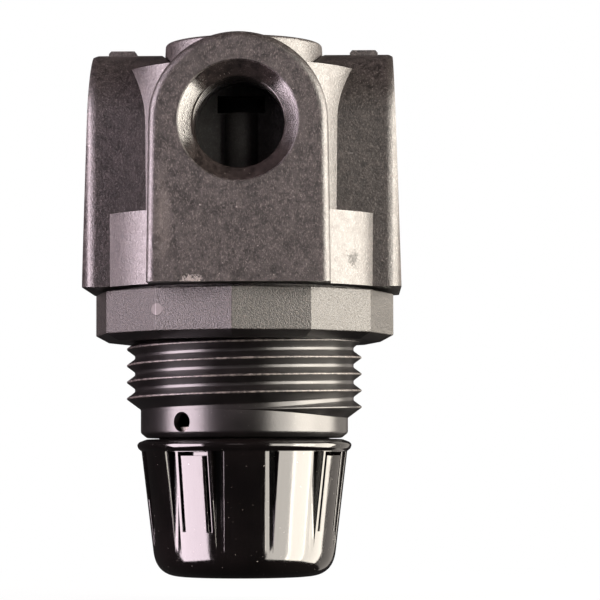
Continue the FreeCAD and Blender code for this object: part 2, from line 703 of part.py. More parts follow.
def make_bonnet():
    body = new_body("bonnet")
    revolve(body, "Revolution", "barrel", [
        (0, -barrel_bottom - neck_length),
        (neck_radius, -barrel_bottom - neck_length),
        (neck_radius, -barrel_bottom),
        (barrel_radius - barrel_bevel, -barrel_bottom),
        (barrel_radius, -barrel_bottom + barrel_bevel),
        (barrel_radius, -thread_length),
        (thread_root, -thread_length),
        (thread_radius, -thread_length + thread_lead_in),
        (thread_radius, ring_height / 2),
        (spigot_radius - thread_gap, ring_height / 2),
        (spigot_radius - thread_gap, spigot_top()),
        (0, spigot_top()),
    ])
    sketch = new_sketch(body, "ring_outline", "XY_Plane")
    draw_polygon(sketch, 12, ring_radius, ring_phase - 90)
    pad(body, "ring", sketch, ring_height)
    slope = (ring_radius - ring_foot) / ring_chamfer_rise
    revolve(body, "Groove", "ring_chamfer", [
        (ring_foot, 0),
        (ring_foot + slope * 2, 0),
        (ring_foot + slope * 2, 2),
    ])
    floor_bottom = -floor_top - floor_height
    revolve(body, "Groove", "bores", [
        (0, -barrel_bottom - neck_length),
        (neck_bore, -barrel_bottom - neck_length),
        (neck_bore, floor_bottom),
        (journal_radius + journal_gap, floor_bottom),
        (journal_radius + journal_gap, -floor_top),
        (bonnet_bore, -floor_top),
        (bonnet_bore, spigot_top() - plate_recess),
        (slip_bore, spigot_top() - plate_recess),
        (slip_bore, spigot_top()),
        (0, spigot_top()),
    ])
    groove_top = -barrel_bottom - neck_groove_start
    revolve(body, "Groove", "hook_groove", [
        (neck_radius - neck_groove, groove_top - neck_groove_length),
        (neck_radius + 1, groove_top - neck_groove_length),
        (neck_radius + 1, groove_top),
        (neck_radius - neck_groove, groove_top),
    ])
    sketch = new_sketch(body, "key_slots_outline", "XY_Plane", offset=-floor_top)
    reach = key_reach + key_gap
    half = key_width / 2 + key_gap
    draw_outline(sketch, rectangle(-reach, -half, reach, half))
    pocket(body, "key_slots", sketch, floor_top + spigot_top(), reversed_way=True)
    sketch = new_sketch(body, "vent_outline", "XZ_Plane", turn=vent_turn)
    draw_circle(sketch, 0, -vent_drop, vent_radius)
    pocket(body, "vent", sketch, spigot_radius, reversed_way=True)
    return body


def spigot_top():
    return clamp_height - bead_height - slip_height


def make_knob():
    rim_top = -barrel_bottom - knob_gap
    end = rim_top - knob_length
    bead_bottom = rim_top - rim_height
    bead_side_top = rim_top - rim_round
    body = new_body("knob")
    revolve(body, "Revolution", "shell", [
        (0, end),
        (knob_bottom_radius, end),
        (knob_top_radius, bead_bottom),
        (rim_radius, bead_bottom + rim_step),
        (rim_radius, bead_side_top, (rim_radius - rim_round, bead_side_top)),
        (rim_radius - rim_round, rim_top),
        (0, rim_top),
    ])
    soften(body, "Fillet", "end_round", lambda edge: is_knob_end_edge(edge, end.value), knob_round)
    revolve(body, "Groove", "hollow", [
        (0, end + knob_floor),
        (knob_inner_end, end + knob_floor),
        (knob_bore, rim_top - knob_bore_depth),
        (knob_bore, rim_top),
        (0, rim_top),
    ])
    cut_flutes(body, bead_bottom)
    cut_fingers(body, rim_top)
    add_hub(body, rim_top, end)
    return body


def is_knob_end_edge(edge, end):
    box = edge.BoundBox
    return abs(box.ZMin - end) < 1e-3 and box.ZLength < 1e-3 and box.XLength > 1


def cut_flutes(body, start):
    """V-shaped flutes with upright floors, which run out where the cone narrows to them."""
    sketch = new_sketch(body, "flute_outline", "XY_Plane", offset=start, turn=flute_turn,
                        turn_axis=(0, 0, 1))
    open_radius = rim_radius + 0.5
    half = flute_half * (open_radius - flute_floor) / (knob_top_radius - flute_floor)
    draw_outline(sketch, [(0, -flute_floor), (-half, -open_radius), (half, -open_radius)])
    flute = pocket(body, "flute", sketch, knob_length - rim_height - knob_floor)
    around(body, "flutes", [flute], flute_count)


def cut_fingers(body, rim_top):
    """Four snap fingers, each freed by a slot on three sides, with a hook inside its free end."""
    sketch = new_sketch(body, "finger_slot_outline", "XZ_Plane", turn=finger_turn)
    top = rim_top - finger_start
    bottom = top - finger_length
    tip = top - finger_top_slot
    outer = finger_half + finger_slot
    draw_outline(sketch, [
        (-outer, bottom),
        (-finger_half, bottom),
        (-finger_half, tip),
        (finger_half, tip),
        (finger_half, bottom),
        (outer, bottom),
        (outer, top),
        (-outer, top),
    ])
    slot = pocket(body, "finger_slot", sketch, rim_radius + 1, reversed_way=True)
    around(body, "finger_slots", [slot], 4)
    hook_top = tip - hook_drop
    hook = revolve(body, "Revolution", "hook", [
        (knob_bore - hook_depth, hook_top - hook_height),
        (knob_bore + 0.2, hook_top - hook_height),
        (knob_bore + 0.2, hook_top),
        (knob_bore - hook_depth, hook_top),
    ], turn=finger_turn - 90, angle=hook_angle)
    around(body, "hooks", [hook], 4)


def add_hub(body, rim_top, end):
    """The hub with a hexagonal socket that slides on the screw."""
    sketch = new_sketch(body, "hub_outline", "XY_Plane", offset=end + knob_floor / 2)
    draw_circle(sketch, 0, 0, hub_radius)
    pad(body, "hub", sketch, knob_length - hub_drop - knob_floor / 2)
    sketch = new_sketch(body, "socket_outline", "XY_Plane", offset=rim_top - hub_drop)
    draw_polygon(sketch, 6, hex_radius + socket_gap)
    pocket(body, "socket", sketch, hub_socket_depth)


def make_screw():
    body = new_body("adjusting_screw")
    washer_top = -floor_top + washer_height + seat_gap
    clip_top = -floor_top - floor_height - seat_gap * 2
    clip_bottom = clip_top - clip_height
    journal_bottom = clip_bottom - 0.4
    groove_radius = journal_radius - clip_groove
    revolve(body, "Revolution", "turned", [
        (0, journal_bottom),
        (journal_radius, journal_bottom),
        (journal_radius, clip_bottom),
        (groove_radius, clip_bottom),
        (groove_radius, clip_top),
        (journal_radius, clip_top),
        (journal_radius, washer_top),
        (flange_radius, washer_top),
        (flange_radius, washer_top + flange_height),
        (screw_radius, washer_top + flange_height),
        (screw_radius, screw_top - 0.8),
        (screw_radius - 0.8, screw_top),
        (0, screw_top),
    ])
    sketch = new_sketch(body, "hexagon_outline", "XY_Plane", offset=journal_bottom)
    draw_polygon(sketch, 6, hex_radius)
    pad(body, "hexagon", sketch, hex_length, reversed_way=True)


def make_screw_clip():
    body = new_body("screw_retaining_ring")
    clip_top = -floor_top - floor_height - seat_gap * 2
    groove_radius = journal_radius - clip_groove
    revolve(body, "Revolution", "ring", [
        (groove_radius, clip_top - clip_height),
        (clip_radius, clip_top - clip_height),
        (clip_radius, clip_top),
        (groove_radius, clip_top),
    ])
    sketch = new_sketch(body, "opening_outline", "XY_Plane", offset=clip_top)
    half = clip_opening / 2
    draw_outline(sketch, rectangle(0, -half, clip_radius + 1, half))
    pocket(body, "opening", sketch, clip_height)


def make_thrust_washer():
    bore = journal_radius + journal_gap * 2
    turned("thrust_washer", rectangle(bore, -floor_top, washer_radius, -floor_top + washer_height))


def make_spring_nut():
    body = new_body("spring_nut")
    shelf = -nut_bottom + nut_flange_height
    revolve(body, "Revolution", "turned", [
        (0, -nut_bottom),
        (nut_flange, -nut_bottom),
        (nut_flange, shelf),
        (nut_boss, shelf),
        (nut_boss, shelf + nut_boss_height),
        (0, shelf + nut_boss_height),
    ])
    sketch = new_sketch(body, "keys_outline", "XY_Plane", offset=-nut_bottom)
    half = key_width / 2
    draw_outline(sketch, rectangle(-key_reach, -half, key_reach, half))
    pad(body, "keys", sketch, nut_flange_height)
    sketch = new_sketch(body, "thread_outline", "XY_Plane", offset=-nut_bottom)
    draw_circle(sketch, 0, 0, screw_radius + journal_gap)
    pocket(body, "thread", sketch, nut_flange_height + nut_boss_height, reversed_way=True)


def plate_bottom():
    return spigot_top() + slip_height - seat_gap - plate_height


def make_regulating_spring():
    shelf = -nut_bottom + nut_flange_height
    coil_spring("regulating_spring", spring_coil, spring_wire, shelf, plate_bottom(), spring_turns)


def make_diaphragm_group():
    web_bottom = clamp_height - bead_height
    rim = spigot_radius - seat_gap * 8
    turned("slip_ring", rectangle(slip_bore, spigot_top(), rim, web_bottom))
    turned("diaphragm", [
        (stud_radius, web_bottom),
        (rim, web_bottom),
        (rim, clamp_height),
        (rim - bead_width, clamp_height),
        (rim - bead_width, web_bottom + web_height),
        (stud_radius, web_bottom + web_height),
    ])
    bottom = plate_bottom()
    top = bottom + plate_height
    turned("diaphragm_plate", [
        (stud_radius, bottom - plate_boss_height),
        (plate_boss, bottom - plate_boss_height),
        (plate_boss, bottom),
        (plate_radius, bottom),
        (plate_radius, top),
        (stud_radius, top),
    ])
    head_bottom = web_bottom + web_height
    head_top = stem_end - seat_gap
    turned("relief_stud", [
        (relief_bore, bottom - plate_boss_height - 0.4),
        (stud_radius, bottom - plate_boss_height - 0.4),
        (stud_radius, head_bottom),
        (stud_head, head_bottom),
        (stud_head, head_bottom + stud_head_height * 0.6),
        (stem_radius + 0.8, head_top),
        (relief_bore, head_top),
    ])


def make_valve():
    lip_top = seat_top + seat_lip
    turned("valve_seat", [
        (seat_bore, seat_bottom),
        (seat_radius, seat_bottom),
        (seat_radius, seat_top),
        (seat_bore + seat_lip_wall, seat_top),
        (seat_bore + seat_lip_wall, lip_top),
        (seat_bore, lip_top),
    ])
    seal_bottom = lip_top + seat_gap
    seal_top = seal_bottom + seal_height
    turned("valve_seal", rectangle(stem_radius, seal_bottom, seal_radius, seal_top))
    head_top = seal_top + poppet_height
    turned("valve_poppet", [
        (0, stem_end),
        (stem_radius - 0.4, stem_end),
        (stem_radius, stem_end + 0.4),
        (stem_radius, seal_top),
        (poppet_radius, seal_top),
        (poppet_radius, head_top),
        (upper_stem_radius, head_top),
        (upper_stem_radius, upper_stem_top),
        (0, upper_stem_top),
    ])
    coil_spring("valve_spring", valve_coil, valve_wire, head_top, plug_spigot_bottom, valve_turns)


def make_bottom_plug():
    body = new_body("bottom_plug")
    guide = upper_stem_radius + stem_gap
    ring = stem_ring_wire + ring_squash
    ring_groove = guide + ring * 2
    ring_bottom = plug_spigot_bottom + 0.5
    revolve(body, "Revolution", "turned", [
        (plug_cup_bore, plug_cup_bottom),
        (plug_cup_radius, plug_cup_bottom),
        (plug_cup_radius, plug_spigot_bottom),
        (plug_bore - thread_gap, plug_spigot_bottom),
        (plug_bore - thread_gap, core_top + seat_gap),
        (plug_radius, core_top + seat_gap),
        (plug_radius - plug_taper, plug_top),
        (0, plug_top),
        (0, plug_guide_top),
        (guide, plug_guide_top),
        (guide, ring_bottom + ring * 2),
        (ring_groove, ring_bottom + ring * 2),
        (ring_groove, ring_bottom),
        (guide, ring_bottom),
        (guide, plug_spigot_bottom),
        (plug_cup_bore, plug_spigot_bottom),
    ])
    soften(body, "Fillet", "top_edge", is_plug_top_edge, plug_edge)
    sketch = new_sketch(body, "dish_outline", "XY_Plane", offset=plug_top)
    for side in (1, -1):
        draw_dish_half(sketch, side)
    pocket(body, "dish", sketch, dish_depth)
    torus("stem_o_ring", guide + ring, ring_bottom + ring, stem_ring_wire)
    torus("plug_o_ring", plug_bore + plug_ring_wire, core_top - plug_ring_wire,
          plug_ring_wire - ring_squash)


def is_plug_top_edge(edge):
    box = edge.BoundBox
    return box.ZLength < 1e-3 and abs(box.ZMin - plug_top.value) < 1e-3 and box.XLength > 1


def draw_dish_half(sketch, side):
    """One half of the dish, on one side of the bar."""
    half = dish_bar / 2
    first = sketch.GeometryCount
    chord = math.sqrt(dish_radius.value ** 2 - half.value ** 2)
    circle = Part.Circle(FreeCAD.Vector(0, 0, 0), FreeCAD.Vector(0, 0, 1), dish_radius.value)
    angle = math.atan2(half.value, chord)
    start = angle if side > 0 else math.pi + angle
    sketch.addGeometry(Part.ArcOfCircle(circle, start, start + math.pi - 2 * angle), False)
    left = FreeCAD.Vector(-chord * side, half.value * side, 0)
    right = FreeCAD.Vector(chord * side, half.value * side, 0)
    sketch.addGeometry(Part.LineSegment(left, right), False)
    sketch.addConstraint(Sketcher.Constraint("Coincident", first, 3, -1, 1))
    sketch.addConstraint(Sketcher.Constraint("Coincident", first, 2, first + 1, 1))
    sketch.addConstraint(Sketcher.Constraint("Coincident", first + 1, 2, first, 1))
    sketch.addConstraint(Sketcher.Constraint("Horizontal", first + 1))
    limit = sketch.addConstraint(Sketcher.Constraint("Radius", first, dish_radius.value))
    sketch.setExpression(f"Constraints[{limit}]", dish_radius.formula)
    constrain(sketch, "DistanceY", first + 1, 1, half * side)


def make_siphon_tube():
    body = new_body("siphon_tube")
    sketch = new_sketch(body, "section", "XY_Plane", offset=siphon_bottom)
    draw_circle(sketch, 0, siphon_place, siphon_radius)
    draw_circle(sketch, 0, siphon_place, siphon_bore)
    pad(body, "tube", sketch, siphon_top - siphon_bottom)


def make_gauge_plugs():
    face = side_reach - side_lean / 2 - gauge_plug_sink
    radius = gauge_thread_radius - thread_gap / 2
    for node, side in (("gauge_plug_left", -1), ("gauge_plug_right", 1)):
        body = new_body(node)
        revolve(body, "Revolution", "turned", [
            ((face - gauge_plug_length) * side, port_height),
            (face * side, port_height),
            (face * side, port_height + radius - 0.3),
            ((face - 0.3) * side, port_height + radius),
            ((face - gauge_plug_length + 0.3) * side, port_height + radius),
            ((face - gauge_plug_length) * side, port_height + radius - 0.3),
        ], axis_height=port_height)
        sketch = new_sketch(body, "socket_outline", "YZ_Plane", offset=face * side)
        points = []
        for i in range(6):
            points.append((gauge_plug_hex * cosine(60 * i), port_height + gauge_plug_hex * sine(60 * i)))
        draw_outline(sketch, points)
        pocket(body, "socket", sketch, gauge_plug_socket, reversed_way=side < 0)


def check_document():
    """Stop if any object failed or any sub-part is empty or not valid."""
    for item in DOCUMENT.Objects:
        if "Invalid" in item.State or "Error" in item.State:
            raise RuntimeError(f"{item.Name} failed: {item.State}")
    for body in SUB_PARTS:
        shape = body.Shape
        if shape.isNull() or not shape.isValid() or not shape.Solids:
            raise RuntimeError(f"{body.Label} has no valid solid")


make_body_casting()
make_bonnet()
make_knob()
make_screw()
make_screw_clip()
make_thrust_washer()
make_spring_nut()
make_regulating_spring()
make_diaphragm_group()
make_valve()
make_bottom_plug()
make_siphon_tube()
make_gauge_plugs()
DOCUMENT.recompute()
check_document()

os.makedirs("parts", exist_ok=True)
for sub_part in SUB_PARTS:
    sub_part.Shape.exportStep(f"parts/{sub_part.Label}.step")
    print(sub_part.Label, len(sub_part.Shape.Solids), round(sub_part.Shape.Volume, 2))
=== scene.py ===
# %% [markdown]
# A small pressure regulator, dressed for its portrait. The construction comes packed as a fixed frame:
# every solid is already at its real size and place, in metres, with the knob's axis on Z.
# This notebook adds what solids leave out: the cut threads, the moulded edges and the finishes.

# %% The frame
import json
import math

import bmesh
import bpy
import numpy as np
from mathutils import Matrix, Vector


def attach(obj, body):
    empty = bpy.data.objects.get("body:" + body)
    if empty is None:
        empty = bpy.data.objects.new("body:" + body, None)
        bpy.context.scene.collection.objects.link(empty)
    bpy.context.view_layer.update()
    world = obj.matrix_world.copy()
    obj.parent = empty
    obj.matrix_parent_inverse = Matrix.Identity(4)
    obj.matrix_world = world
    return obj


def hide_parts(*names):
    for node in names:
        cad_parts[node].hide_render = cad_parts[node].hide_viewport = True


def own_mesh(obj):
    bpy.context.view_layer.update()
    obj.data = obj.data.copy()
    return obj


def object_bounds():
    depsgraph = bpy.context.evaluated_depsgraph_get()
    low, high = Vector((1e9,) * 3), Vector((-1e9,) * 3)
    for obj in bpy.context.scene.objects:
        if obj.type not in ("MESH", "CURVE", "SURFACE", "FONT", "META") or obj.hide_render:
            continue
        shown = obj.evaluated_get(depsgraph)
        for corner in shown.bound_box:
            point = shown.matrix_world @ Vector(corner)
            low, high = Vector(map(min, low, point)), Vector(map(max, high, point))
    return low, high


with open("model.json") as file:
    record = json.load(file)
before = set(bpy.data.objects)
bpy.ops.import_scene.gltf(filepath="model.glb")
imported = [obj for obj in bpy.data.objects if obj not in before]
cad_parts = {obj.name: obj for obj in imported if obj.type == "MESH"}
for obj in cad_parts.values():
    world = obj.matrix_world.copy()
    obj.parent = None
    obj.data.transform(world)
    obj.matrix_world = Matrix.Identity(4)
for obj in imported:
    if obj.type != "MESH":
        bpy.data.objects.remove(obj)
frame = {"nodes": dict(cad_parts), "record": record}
cad_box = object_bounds()
MM = 0.001
NODES = frame["nodes"]
print("nodes in the frame:", len(NODES))

# %% [markdown]
# The camera stands low, at about the height of the knob's rim, and looks a little upwards. So the knob's
# foot is seen from above, the body from below, and the front boss hides the plug. A short lens close by
# would spread the sides, and a long lens from about 36 cm keeps them almost parallel.

# %% Camera
CAMERA_DISTANCE = 357 * MM
CAMERA_SIDE = 7.18 * MM
CAMERA_HEIGHT = -15.33 * MM
CAMERA_PITCH = math.radians(3.34)
CAMERA_ROLL = math.radians(-0.15)
VIEW_TURN = math.radians(1.0)
FOCAL_LENGTH = 166.5


def in_view(side, depth, height):
    """A point given as the camera sees it: to its right, away from it past the axis, and up."""
    cos, sin = math.cos(VIEW_TURN), math.sin(VIEW_TURN)
    return (side * cos - depth * sin, side * sin + depth * cos, height)


camera_data = bpy.data.cameras.new("portrait_camera")
camera_data.lens = FOCAL_LENGTH
camera_data.sensor_width = 36
camera_data.clip_start = 0.01
camera = bpy.data.objects.new("portrait_camera", camera_data)
bpy.context.collection.objects.link(camera)
camera.location = in_view(CAMERA_SIDE, -CAMERA_DISTANCE, CAMERA_HEIGHT)
camera.rotation_mode = "XYZ"
camera.rotation_euler = (math.pi / 2 + CAMERA_PITCH, 0, VIEW_TURN)
camera.rotation_euler.rotate_axis("Z", CAMERA_ROLL)
bpy.context.scene.camera = camera
print("camera at", [round(v, 4) for v in camera.location])

# %% [markdown]
# A tall rosy soft box stands on the left. On the right a row of warm ones forms one broad light that is
# brightest in its middle, and a weak lamp fills the front. Black plastic shows little colour of its own,
# so the form is read from what the two sides put on its edges. One lamp a side would leave its mirror
# image in the knob too plain, and more light from the front would turn the black to grey.

# %% Lights
LAMP_DISTANCE = 420
# Angle to the camera's right and rise in degrees, width and height in millimetres, power in watts, colour.
LAMPS = {
    "rosy_box": (-67, 0, (330, 520), 7.4, (1.0, 0.83, 0.91)),
    "warm_near": (45, 0, (230, 520), 3.2, (1.0, 0.93, 0.84)),
    "warm_mid": (69, 0, (180, 520), 4.8, (1.0, 0.92, 0.81)),
    "warm_far": (97, 0, (260, 520), 4.9, (1.0, 0.92, 0.81)),
    "warm_back": (136, 0, (290, 520), 0.4, (1.0, 0.91, 0.82)),
    "front_fill": (-8, 16, (120, 90), 0.06, (1.0, 0.86, 0.88)),
}


def aim(obj, target):
    """Turn an object so that its -Z, a lamp's bright side, points at the target."""
    direction = np.array(target) - np.array(obj.location)
    obj.rotation_euler = Vector(direction).to_track_quat("-Z", "Y").to_euler()


for lamp_name, (azimuth, rise, size, watts, tint) in LAMPS.items():
    lamp = bpy.data.lights.new(lamp_name, "AREA")
    lamp.shape = "RECTANGLE"
    lamp.size = size[0] * MM
    lamp.size_y = size[1] * MM
    lamp.energy = watts
    lamp.color = tint
    lamp_object = bpy.data.objects.new(lamp_name, lamp)
    bpy.context.collection.objects.link(lamp_object)
    across, up = math.radians(azimuth), math.radians(rise)
    lamp_object.location = in_view(LAMP_DISTANCE * MM * math.sin(across),
                                   -LAMP_DISTANCE * MM * math.cos(across), LAMP_DISTANCE * MM * math.tan(up))
    lamp_object.visible_camera = False
    aim(lamp_object, (0, 0, 0))
print("lamps:", ", ".join(LAMPS))

# %% [markdown]
# Shader graphs are easier to read as sums. A small wrapper lets a socket be added and multiplied
# like a number, and one method makes any other node from its type, its settings and its inputs.


# %% Shader helpers
class Socket:
    """A node's output that can be used in Python arithmetic; each operation adds a Math node."""

    def __init__(self, finish, link):
        self.finish = finish
        self.link = link

    def _math(self, operation, first, second):
        return self.finish.node("ShaderNodeMath", {"operation": operation}, [first, second])

    def __add__(self, other):
        return self._math("ADD", self, other)

    __radd__ = __add__

    def __mul__(self, other):
        return self._math("MULTIPLY", self, other)

    __rmul__ = __mul__

    def __sub__(self, other):
        return self._math("SUBTRACT", self, other)

    def __rsub__(self, other):
        return self._math("SUBTRACT", other, self)

    def __gt__(self, other):
        return self._math("GREATER_THAN", self, other)

    def __lt__(self, other):
        return self._math("LESS_THAN", self, other)


class Finish:
    """A material being built, with one Principled shader at its end."""

    def __init__(self, name):
        self.material = bpy.data.materials.new(name)
        self.material.use_nodes = True
        self.tree = self.material.node_tree
        self.shader = next(n for n in self.tree.nodes if n.type == "BSDF_PRINCIPLED")

    def node(self, kind, settings=None, inputs=(), output=0):
        """Add a node: settings come first, then its inputs' values or links. Gives back one output."""
        made = self.tree.nodes.new(kind)
        for key, value in (settings or {}).items():
            if key == "stops":
                self.fill_ramp(made, value)
            else:
                setattr(made, key, value)
        pairs = inputs.items() if isinstance(inputs, dict) else enumerate(inputs)
        for key, value in pairs:
            if isinstance(value, Socket):
                self.tree.links.new(value.link, made.inputs[key])
            elif value is not None:
                made.inputs[key].default_value = value
        return Socket(self, made.outputs[output])

    @staticmethod
    def fill_ramp(ramp, stops):
        """Give a colour ramp its stops: a place from 0 to 1 and a grey level or a colour."""
        elements = ramp.color_ramp.elements
        for i, (place, value) in enumerate(stops):
            element = elements[i] if i < 2 else elements.new(place)
            element.position = place
            shade = value if isinstance(value, tuple) else (value, value, value)
            element.color = (*shade, 1)

    def place(self):
        """Object coordinates, in metres."""
        return self.node("ShaderNodeTexCoord", output="Object")

    def noise(self, scale, detail=3.0, roughness=0.55, stretch=None):
        """Smooth noise from 0 to 1; scale is how many blobs fit in a metre."""
        where = self.place()
        if stretch:
            where = self.node("ShaderNodeMapping", inputs={"Vector": where, "Scale": stretch})
        return self.node("ShaderNodeTexNoise", inputs={"Vector": where, "Scale": scale,
                                                       "Detail": detail, "Roughness": roughness})

    def radius(self):
        """Distance from the knob's axis, in metres."""
        flat = self.node("ShaderNodeVectorMath", {"operation": "MULTIPLY"}, [self.place(), (1, 1, 0)])
        return self.node("ShaderNodeVectorMath", {"operation": "LENGTH"}, [flat], output=1)

    def spot(self, centre, size):
        """1 at a place on the object, 0 on an ellipsoid of this half size and less outside; millimetres."""
        apart = self.place()
        for operation, value in (("SUBTRACT", centre), ("DIVIDE", size)):
            metres = [v * MM for v in value]
            apart = self.node("ShaderNodeVectorMath", {"operation": operation}, [apart, metres])
        return 1 - self.node("ShaderNodeVectorMath", {"operation": "LENGTH"}, [apart], output=1)

    def ramp(self, value, *stops):
        """A value read off a line through these stops."""
        return self.node("ShaderNodeValToRGB", {"stops": stops}, [value])

    def mix(self, factor, first, second):
        """Colours blended by a factor; first where it is 0, second where it is 1."""
        first, second = [(*value, 1) if isinstance(value, tuple) else value for value in (first, second)]
        return self.node("ShaderNodeMix", {"data_type": "RGBA"}, {0: factor, 6: first, 7: second}, output=2)

    def set(self, **sockets):
        """Link or set inputs of the Principled shader, by their names in small letters."""
        for key, value in sockets.items():
            name = key.replace("_", " ").title().replace("Ior", "IOR")
            target = self.shader.inputs[name]
            if isinstance(value, Socket):
                self.tree.links.new(value.link, target)
            else:
                target.default_value = value

    def bump(self, height, distance, strength=1.0, under=None):
        """Raise the surface by a height from 0 to 1, times a distance in millimetres."""
        inputs = {"Height": height, "Distance": distance * MM, "Strength": strength}
        if under is not None:
            inputs["Normal"] = under
        return self.node("ShaderNodeBump", inputs=inputs)


# %% [markdown]
# The body is moulded in a glass-filled polymer. Close up it is satin, brown-black, mottled by flow and
# peppered with short pale fibres that lie in its skin. Photographed skin could be wrapped round it, but
# noise in several sizes stays sharp at any distance. A few marks of use sit at fixed places: a smear and
# a crumbled nick on the front boss, a stain on the right corner block, scratches on the right boss. The
# outer edges of the side bosses are rounder than the solid's, so there the finish leans the surface
# outwards as a rounder edge would.

# %% Finish of the casting
EDGE_FROM, EDGE_WIDTH, EDGE_ROUND = 18.2, 1.9, 1.9
# Centre and half size in millimetres of each mark, and of the shade painted near black deep inside the ports.
SMEAR = (-9.2, -20.4, 14.5), (1.3, 1.0, 6.5)
CHIP = (-5.6, -20.4, 6.75), (1.5, 1.8, 0.9)
STAIN = (14.1, -13.2, 9.8), (1.2, 2.0, 1.3)
SCRATCHES = (14.7, -9.8, 23.6), (1.8, 2.0, 1.2)
PORT_SHADE_SPOT = (0, -10, 26.4), (6.6, 7.0, 6.6)


def edge_lean(f):
    """Bump that falls away past EDGE_FROM with the square of the distance, as a circle's first part does."""
    across = f.node("ShaderNodeSeparateXYZ", inputs=[f.place()])
    past = f.node("ShaderNodeMath", {"operation": "ABSOLUTE"}, [across]) - EDGE_FROM * MM
    turned = f.node("ShaderNodeClamp", inputs=[past * (1 / (EDGE_WIDTH * MM))])
    return f.bump(turned * turned * -1, EDGE_WIDTH ** 2 / 2 / EDGE_ROUND)


def casting_finish(name, roughness=0.38, relief=1.0):
    """Noises mixed into colour, bump and roughness; relief scales the fibres and the bumps."""
    f = Finish(name)
    cloud = f.noise(1000, 8, 0.75)
    grain = f.noise(3300, 4, 0.6)
    fibre = f.noise(6500, 2, 0.6, stretch=(1, 1, 0.55))
    dust = f.noise(3100, 1, 0.4)
    scuff = f.noise(1300, 6, 0.75, stretch=(2.2, 1, 0.6))
    crumb = f.noise(3600, 3, 0.7)
    hairs = f.noise(1500, 2, 0.5, stretch=(0.25, 1, 3.2))

    base = f.mix(f.ramp(cloud, (0.36, 0.0), (0.64, 1.0)), (0.004, 0.003, 0.0029), (0.034, 0.027, 0.0255))
    strand = f.ramp(fibre, (0.52, 0.0), (0.74, 0.75)) * relief
    base = f.mix(strand, base, (0.15, 0.13, 0.125))
    base = f.mix(f.ramp(dust, (0.775, 0.0), (0.81, 0.7)), base, (0.30, 0.27, 0.26))
    base = f.mix(f.ramp(scuff, (0.60, 0.0), (0.84, 0.4)), base, (0.08, 0.068, 0.064))

    smear = f.ramp(f.spot(*SMEAR), (0.0, 0.0), (0.9, 0.6))
    base = f.mix(smear * f.ramp(scuff, (0.35, 0.3), (0.65, 1.0)), base, (0.16, 0.14, 0.13))
    chip = f.ramp(f.spot(*CHIP) + crumb * 4 - 2.1, (0.25, 0.0), (0.4, 1.0))
    base = f.mix(chip * 0.8, base, (0.24, 0.21, 0.20))
    stain = f.ramp(f.spot(*STAIN) + crumb * 4 - 2.0, (0.3, 0.0), (0.7, 0.8))
    base = f.mix(stain, base, (0.004, 0.0035, 0.0032))
    scratch = f.ramp(f.spot(*SCRATCHES), (0.0, 0.0), (0.5, 1.0))
    base = f.mix(scratch * f.ramp(hairs, (0.60, 0.0), (0.68, 0.8)), base, (0.20, 0.18, 0.18))
    # Painted shade: deep inside the ports the base colour goes near black, where shade falls.
    painted_port_shade = f.ramp(f.spot(*PORT_SHADE_SPOT), (0.0, 0.0), (0.15, 0.85))
    base = f.mix(painted_port_shade, base, (0.0015, 0.0013, 0.0012))

    skin = f.bump(grain, 0.1, 0.6 * relief, under=edge_lean(f))
    skin = f.bump(cloud, 0.06, 0.5 * relief, under=skin)
    skin = f.bump(chip, 0.15, 0.8, under=skin)
    mottle = f.ramp(cloud, (0.35, 0.0), (0.65, 1.0))
    rough = roughness - 0.04 * relief + 0.18 * relief * mottle + 0.2 * chip
    rough = rough - 0.12 * strand + 0.3 * stain + 0.4 * painted_port_shade
    f.set(base_color=base, roughness=rough, normal=skin, specular_ior_level=1.0)
    return f.material


# %% [markdown]
# The bonnet is the same family of polymer with a coarser fill. Its twelve facets glitter like fine
# sandpaper, while the thread and the barrel come smoother and blacker off the polished mould. Both are
# one material, because they are one moulding: height tells facets from thread, and the distance from
# the axis finds the worn, pale crests. A small round gate mark straddles an edge of the ring.

# %% Finish of the bonnet
FACETS_FROM = 0.86
# A ramp reads only values from 0 to 1, so radii are counted from the first of these.
RADIUS_ZERO, CREST_FROM, CREST_FULL = 14.5, 14.97, 15.06
GATE_MARK = (-10.2, -16.2, 3.5), (0.78, 2.0, 0.78)


def bonnet_finish():
    """One look above FACETS_FROM and another below, where radius adds the pale crests."""
    f = Finish("bonnet_polymer")
    height = f.node("ShaderNodeSeparateXYZ", inputs=[f.place()], output=2)
    on_ring = height > FACETS_FROM * MM
    glitter = f.noise(5600, 2, 0.7)
    cloud = f.noise(260, 4)
    speck = f.noise(3800, 2, 0.5)

    ring = f.mix(f.ramp(glitter, (0.46, 0.0), (0.68, 1.0)), (0.002, 0.0018, 0.0016), (0.085, 0.077, 0.068))
    gate = f.ramp(f.spot(*GATE_MARK), (0.0, 0.0), (0.06, 1.0))
    ring = f.mix(gate, ring, (0.11, 0.10, 0.098))

    barrel = f.mix(f.ramp(cloud, (0.35, 0.0), (0.7, 1.0)), (0.004, 0.0035, 0.0036), (0.010, 0.0085, 0.0088))
    barrel = f.mix(f.ramp(speck, (0.72, 0.0), (0.79, 0.5)), barrel, (0.30, 0.27, 0.26))
    past_zero = f.radius() * 1000 - RADIUS_ZERO
    crest = f.ramp(past_zero, (CREST_FROM - RADIUS_ZERO, 0.0), (CREST_FULL - RADIUS_ZERO, 1.0)) * (height < 0)
    barrel = f.mix(crest * f.ramp(f.noise(2100, 3), (0.40, 0.1), (0.62, 0.9)), barrel, (0.16, 0.14, 0.13))

    grain = f.bump(glitter * (1 - gate), 0.11, 0.9)
    fine = f.bump(f.noise(4200, 3), 0.02, 0.6)
    normal = f.node("ShaderNodeMix", {"data_type": "VECTOR"}, {0: on_ring, 4: fine, 5: grain}, output=1)
    sparkle = f.ramp(glitter, (0.42, 0.0), (0.62, 1.0))
    rough = 0.30 + on_ring * (0.06 + 0.2 * sparkle) + 0.12 * crest
    f.set(base_color=f.mix(on_ring, barrel, ring), roughness=rough, normal=normal, specular_ior_level=0.75)
    return f.material


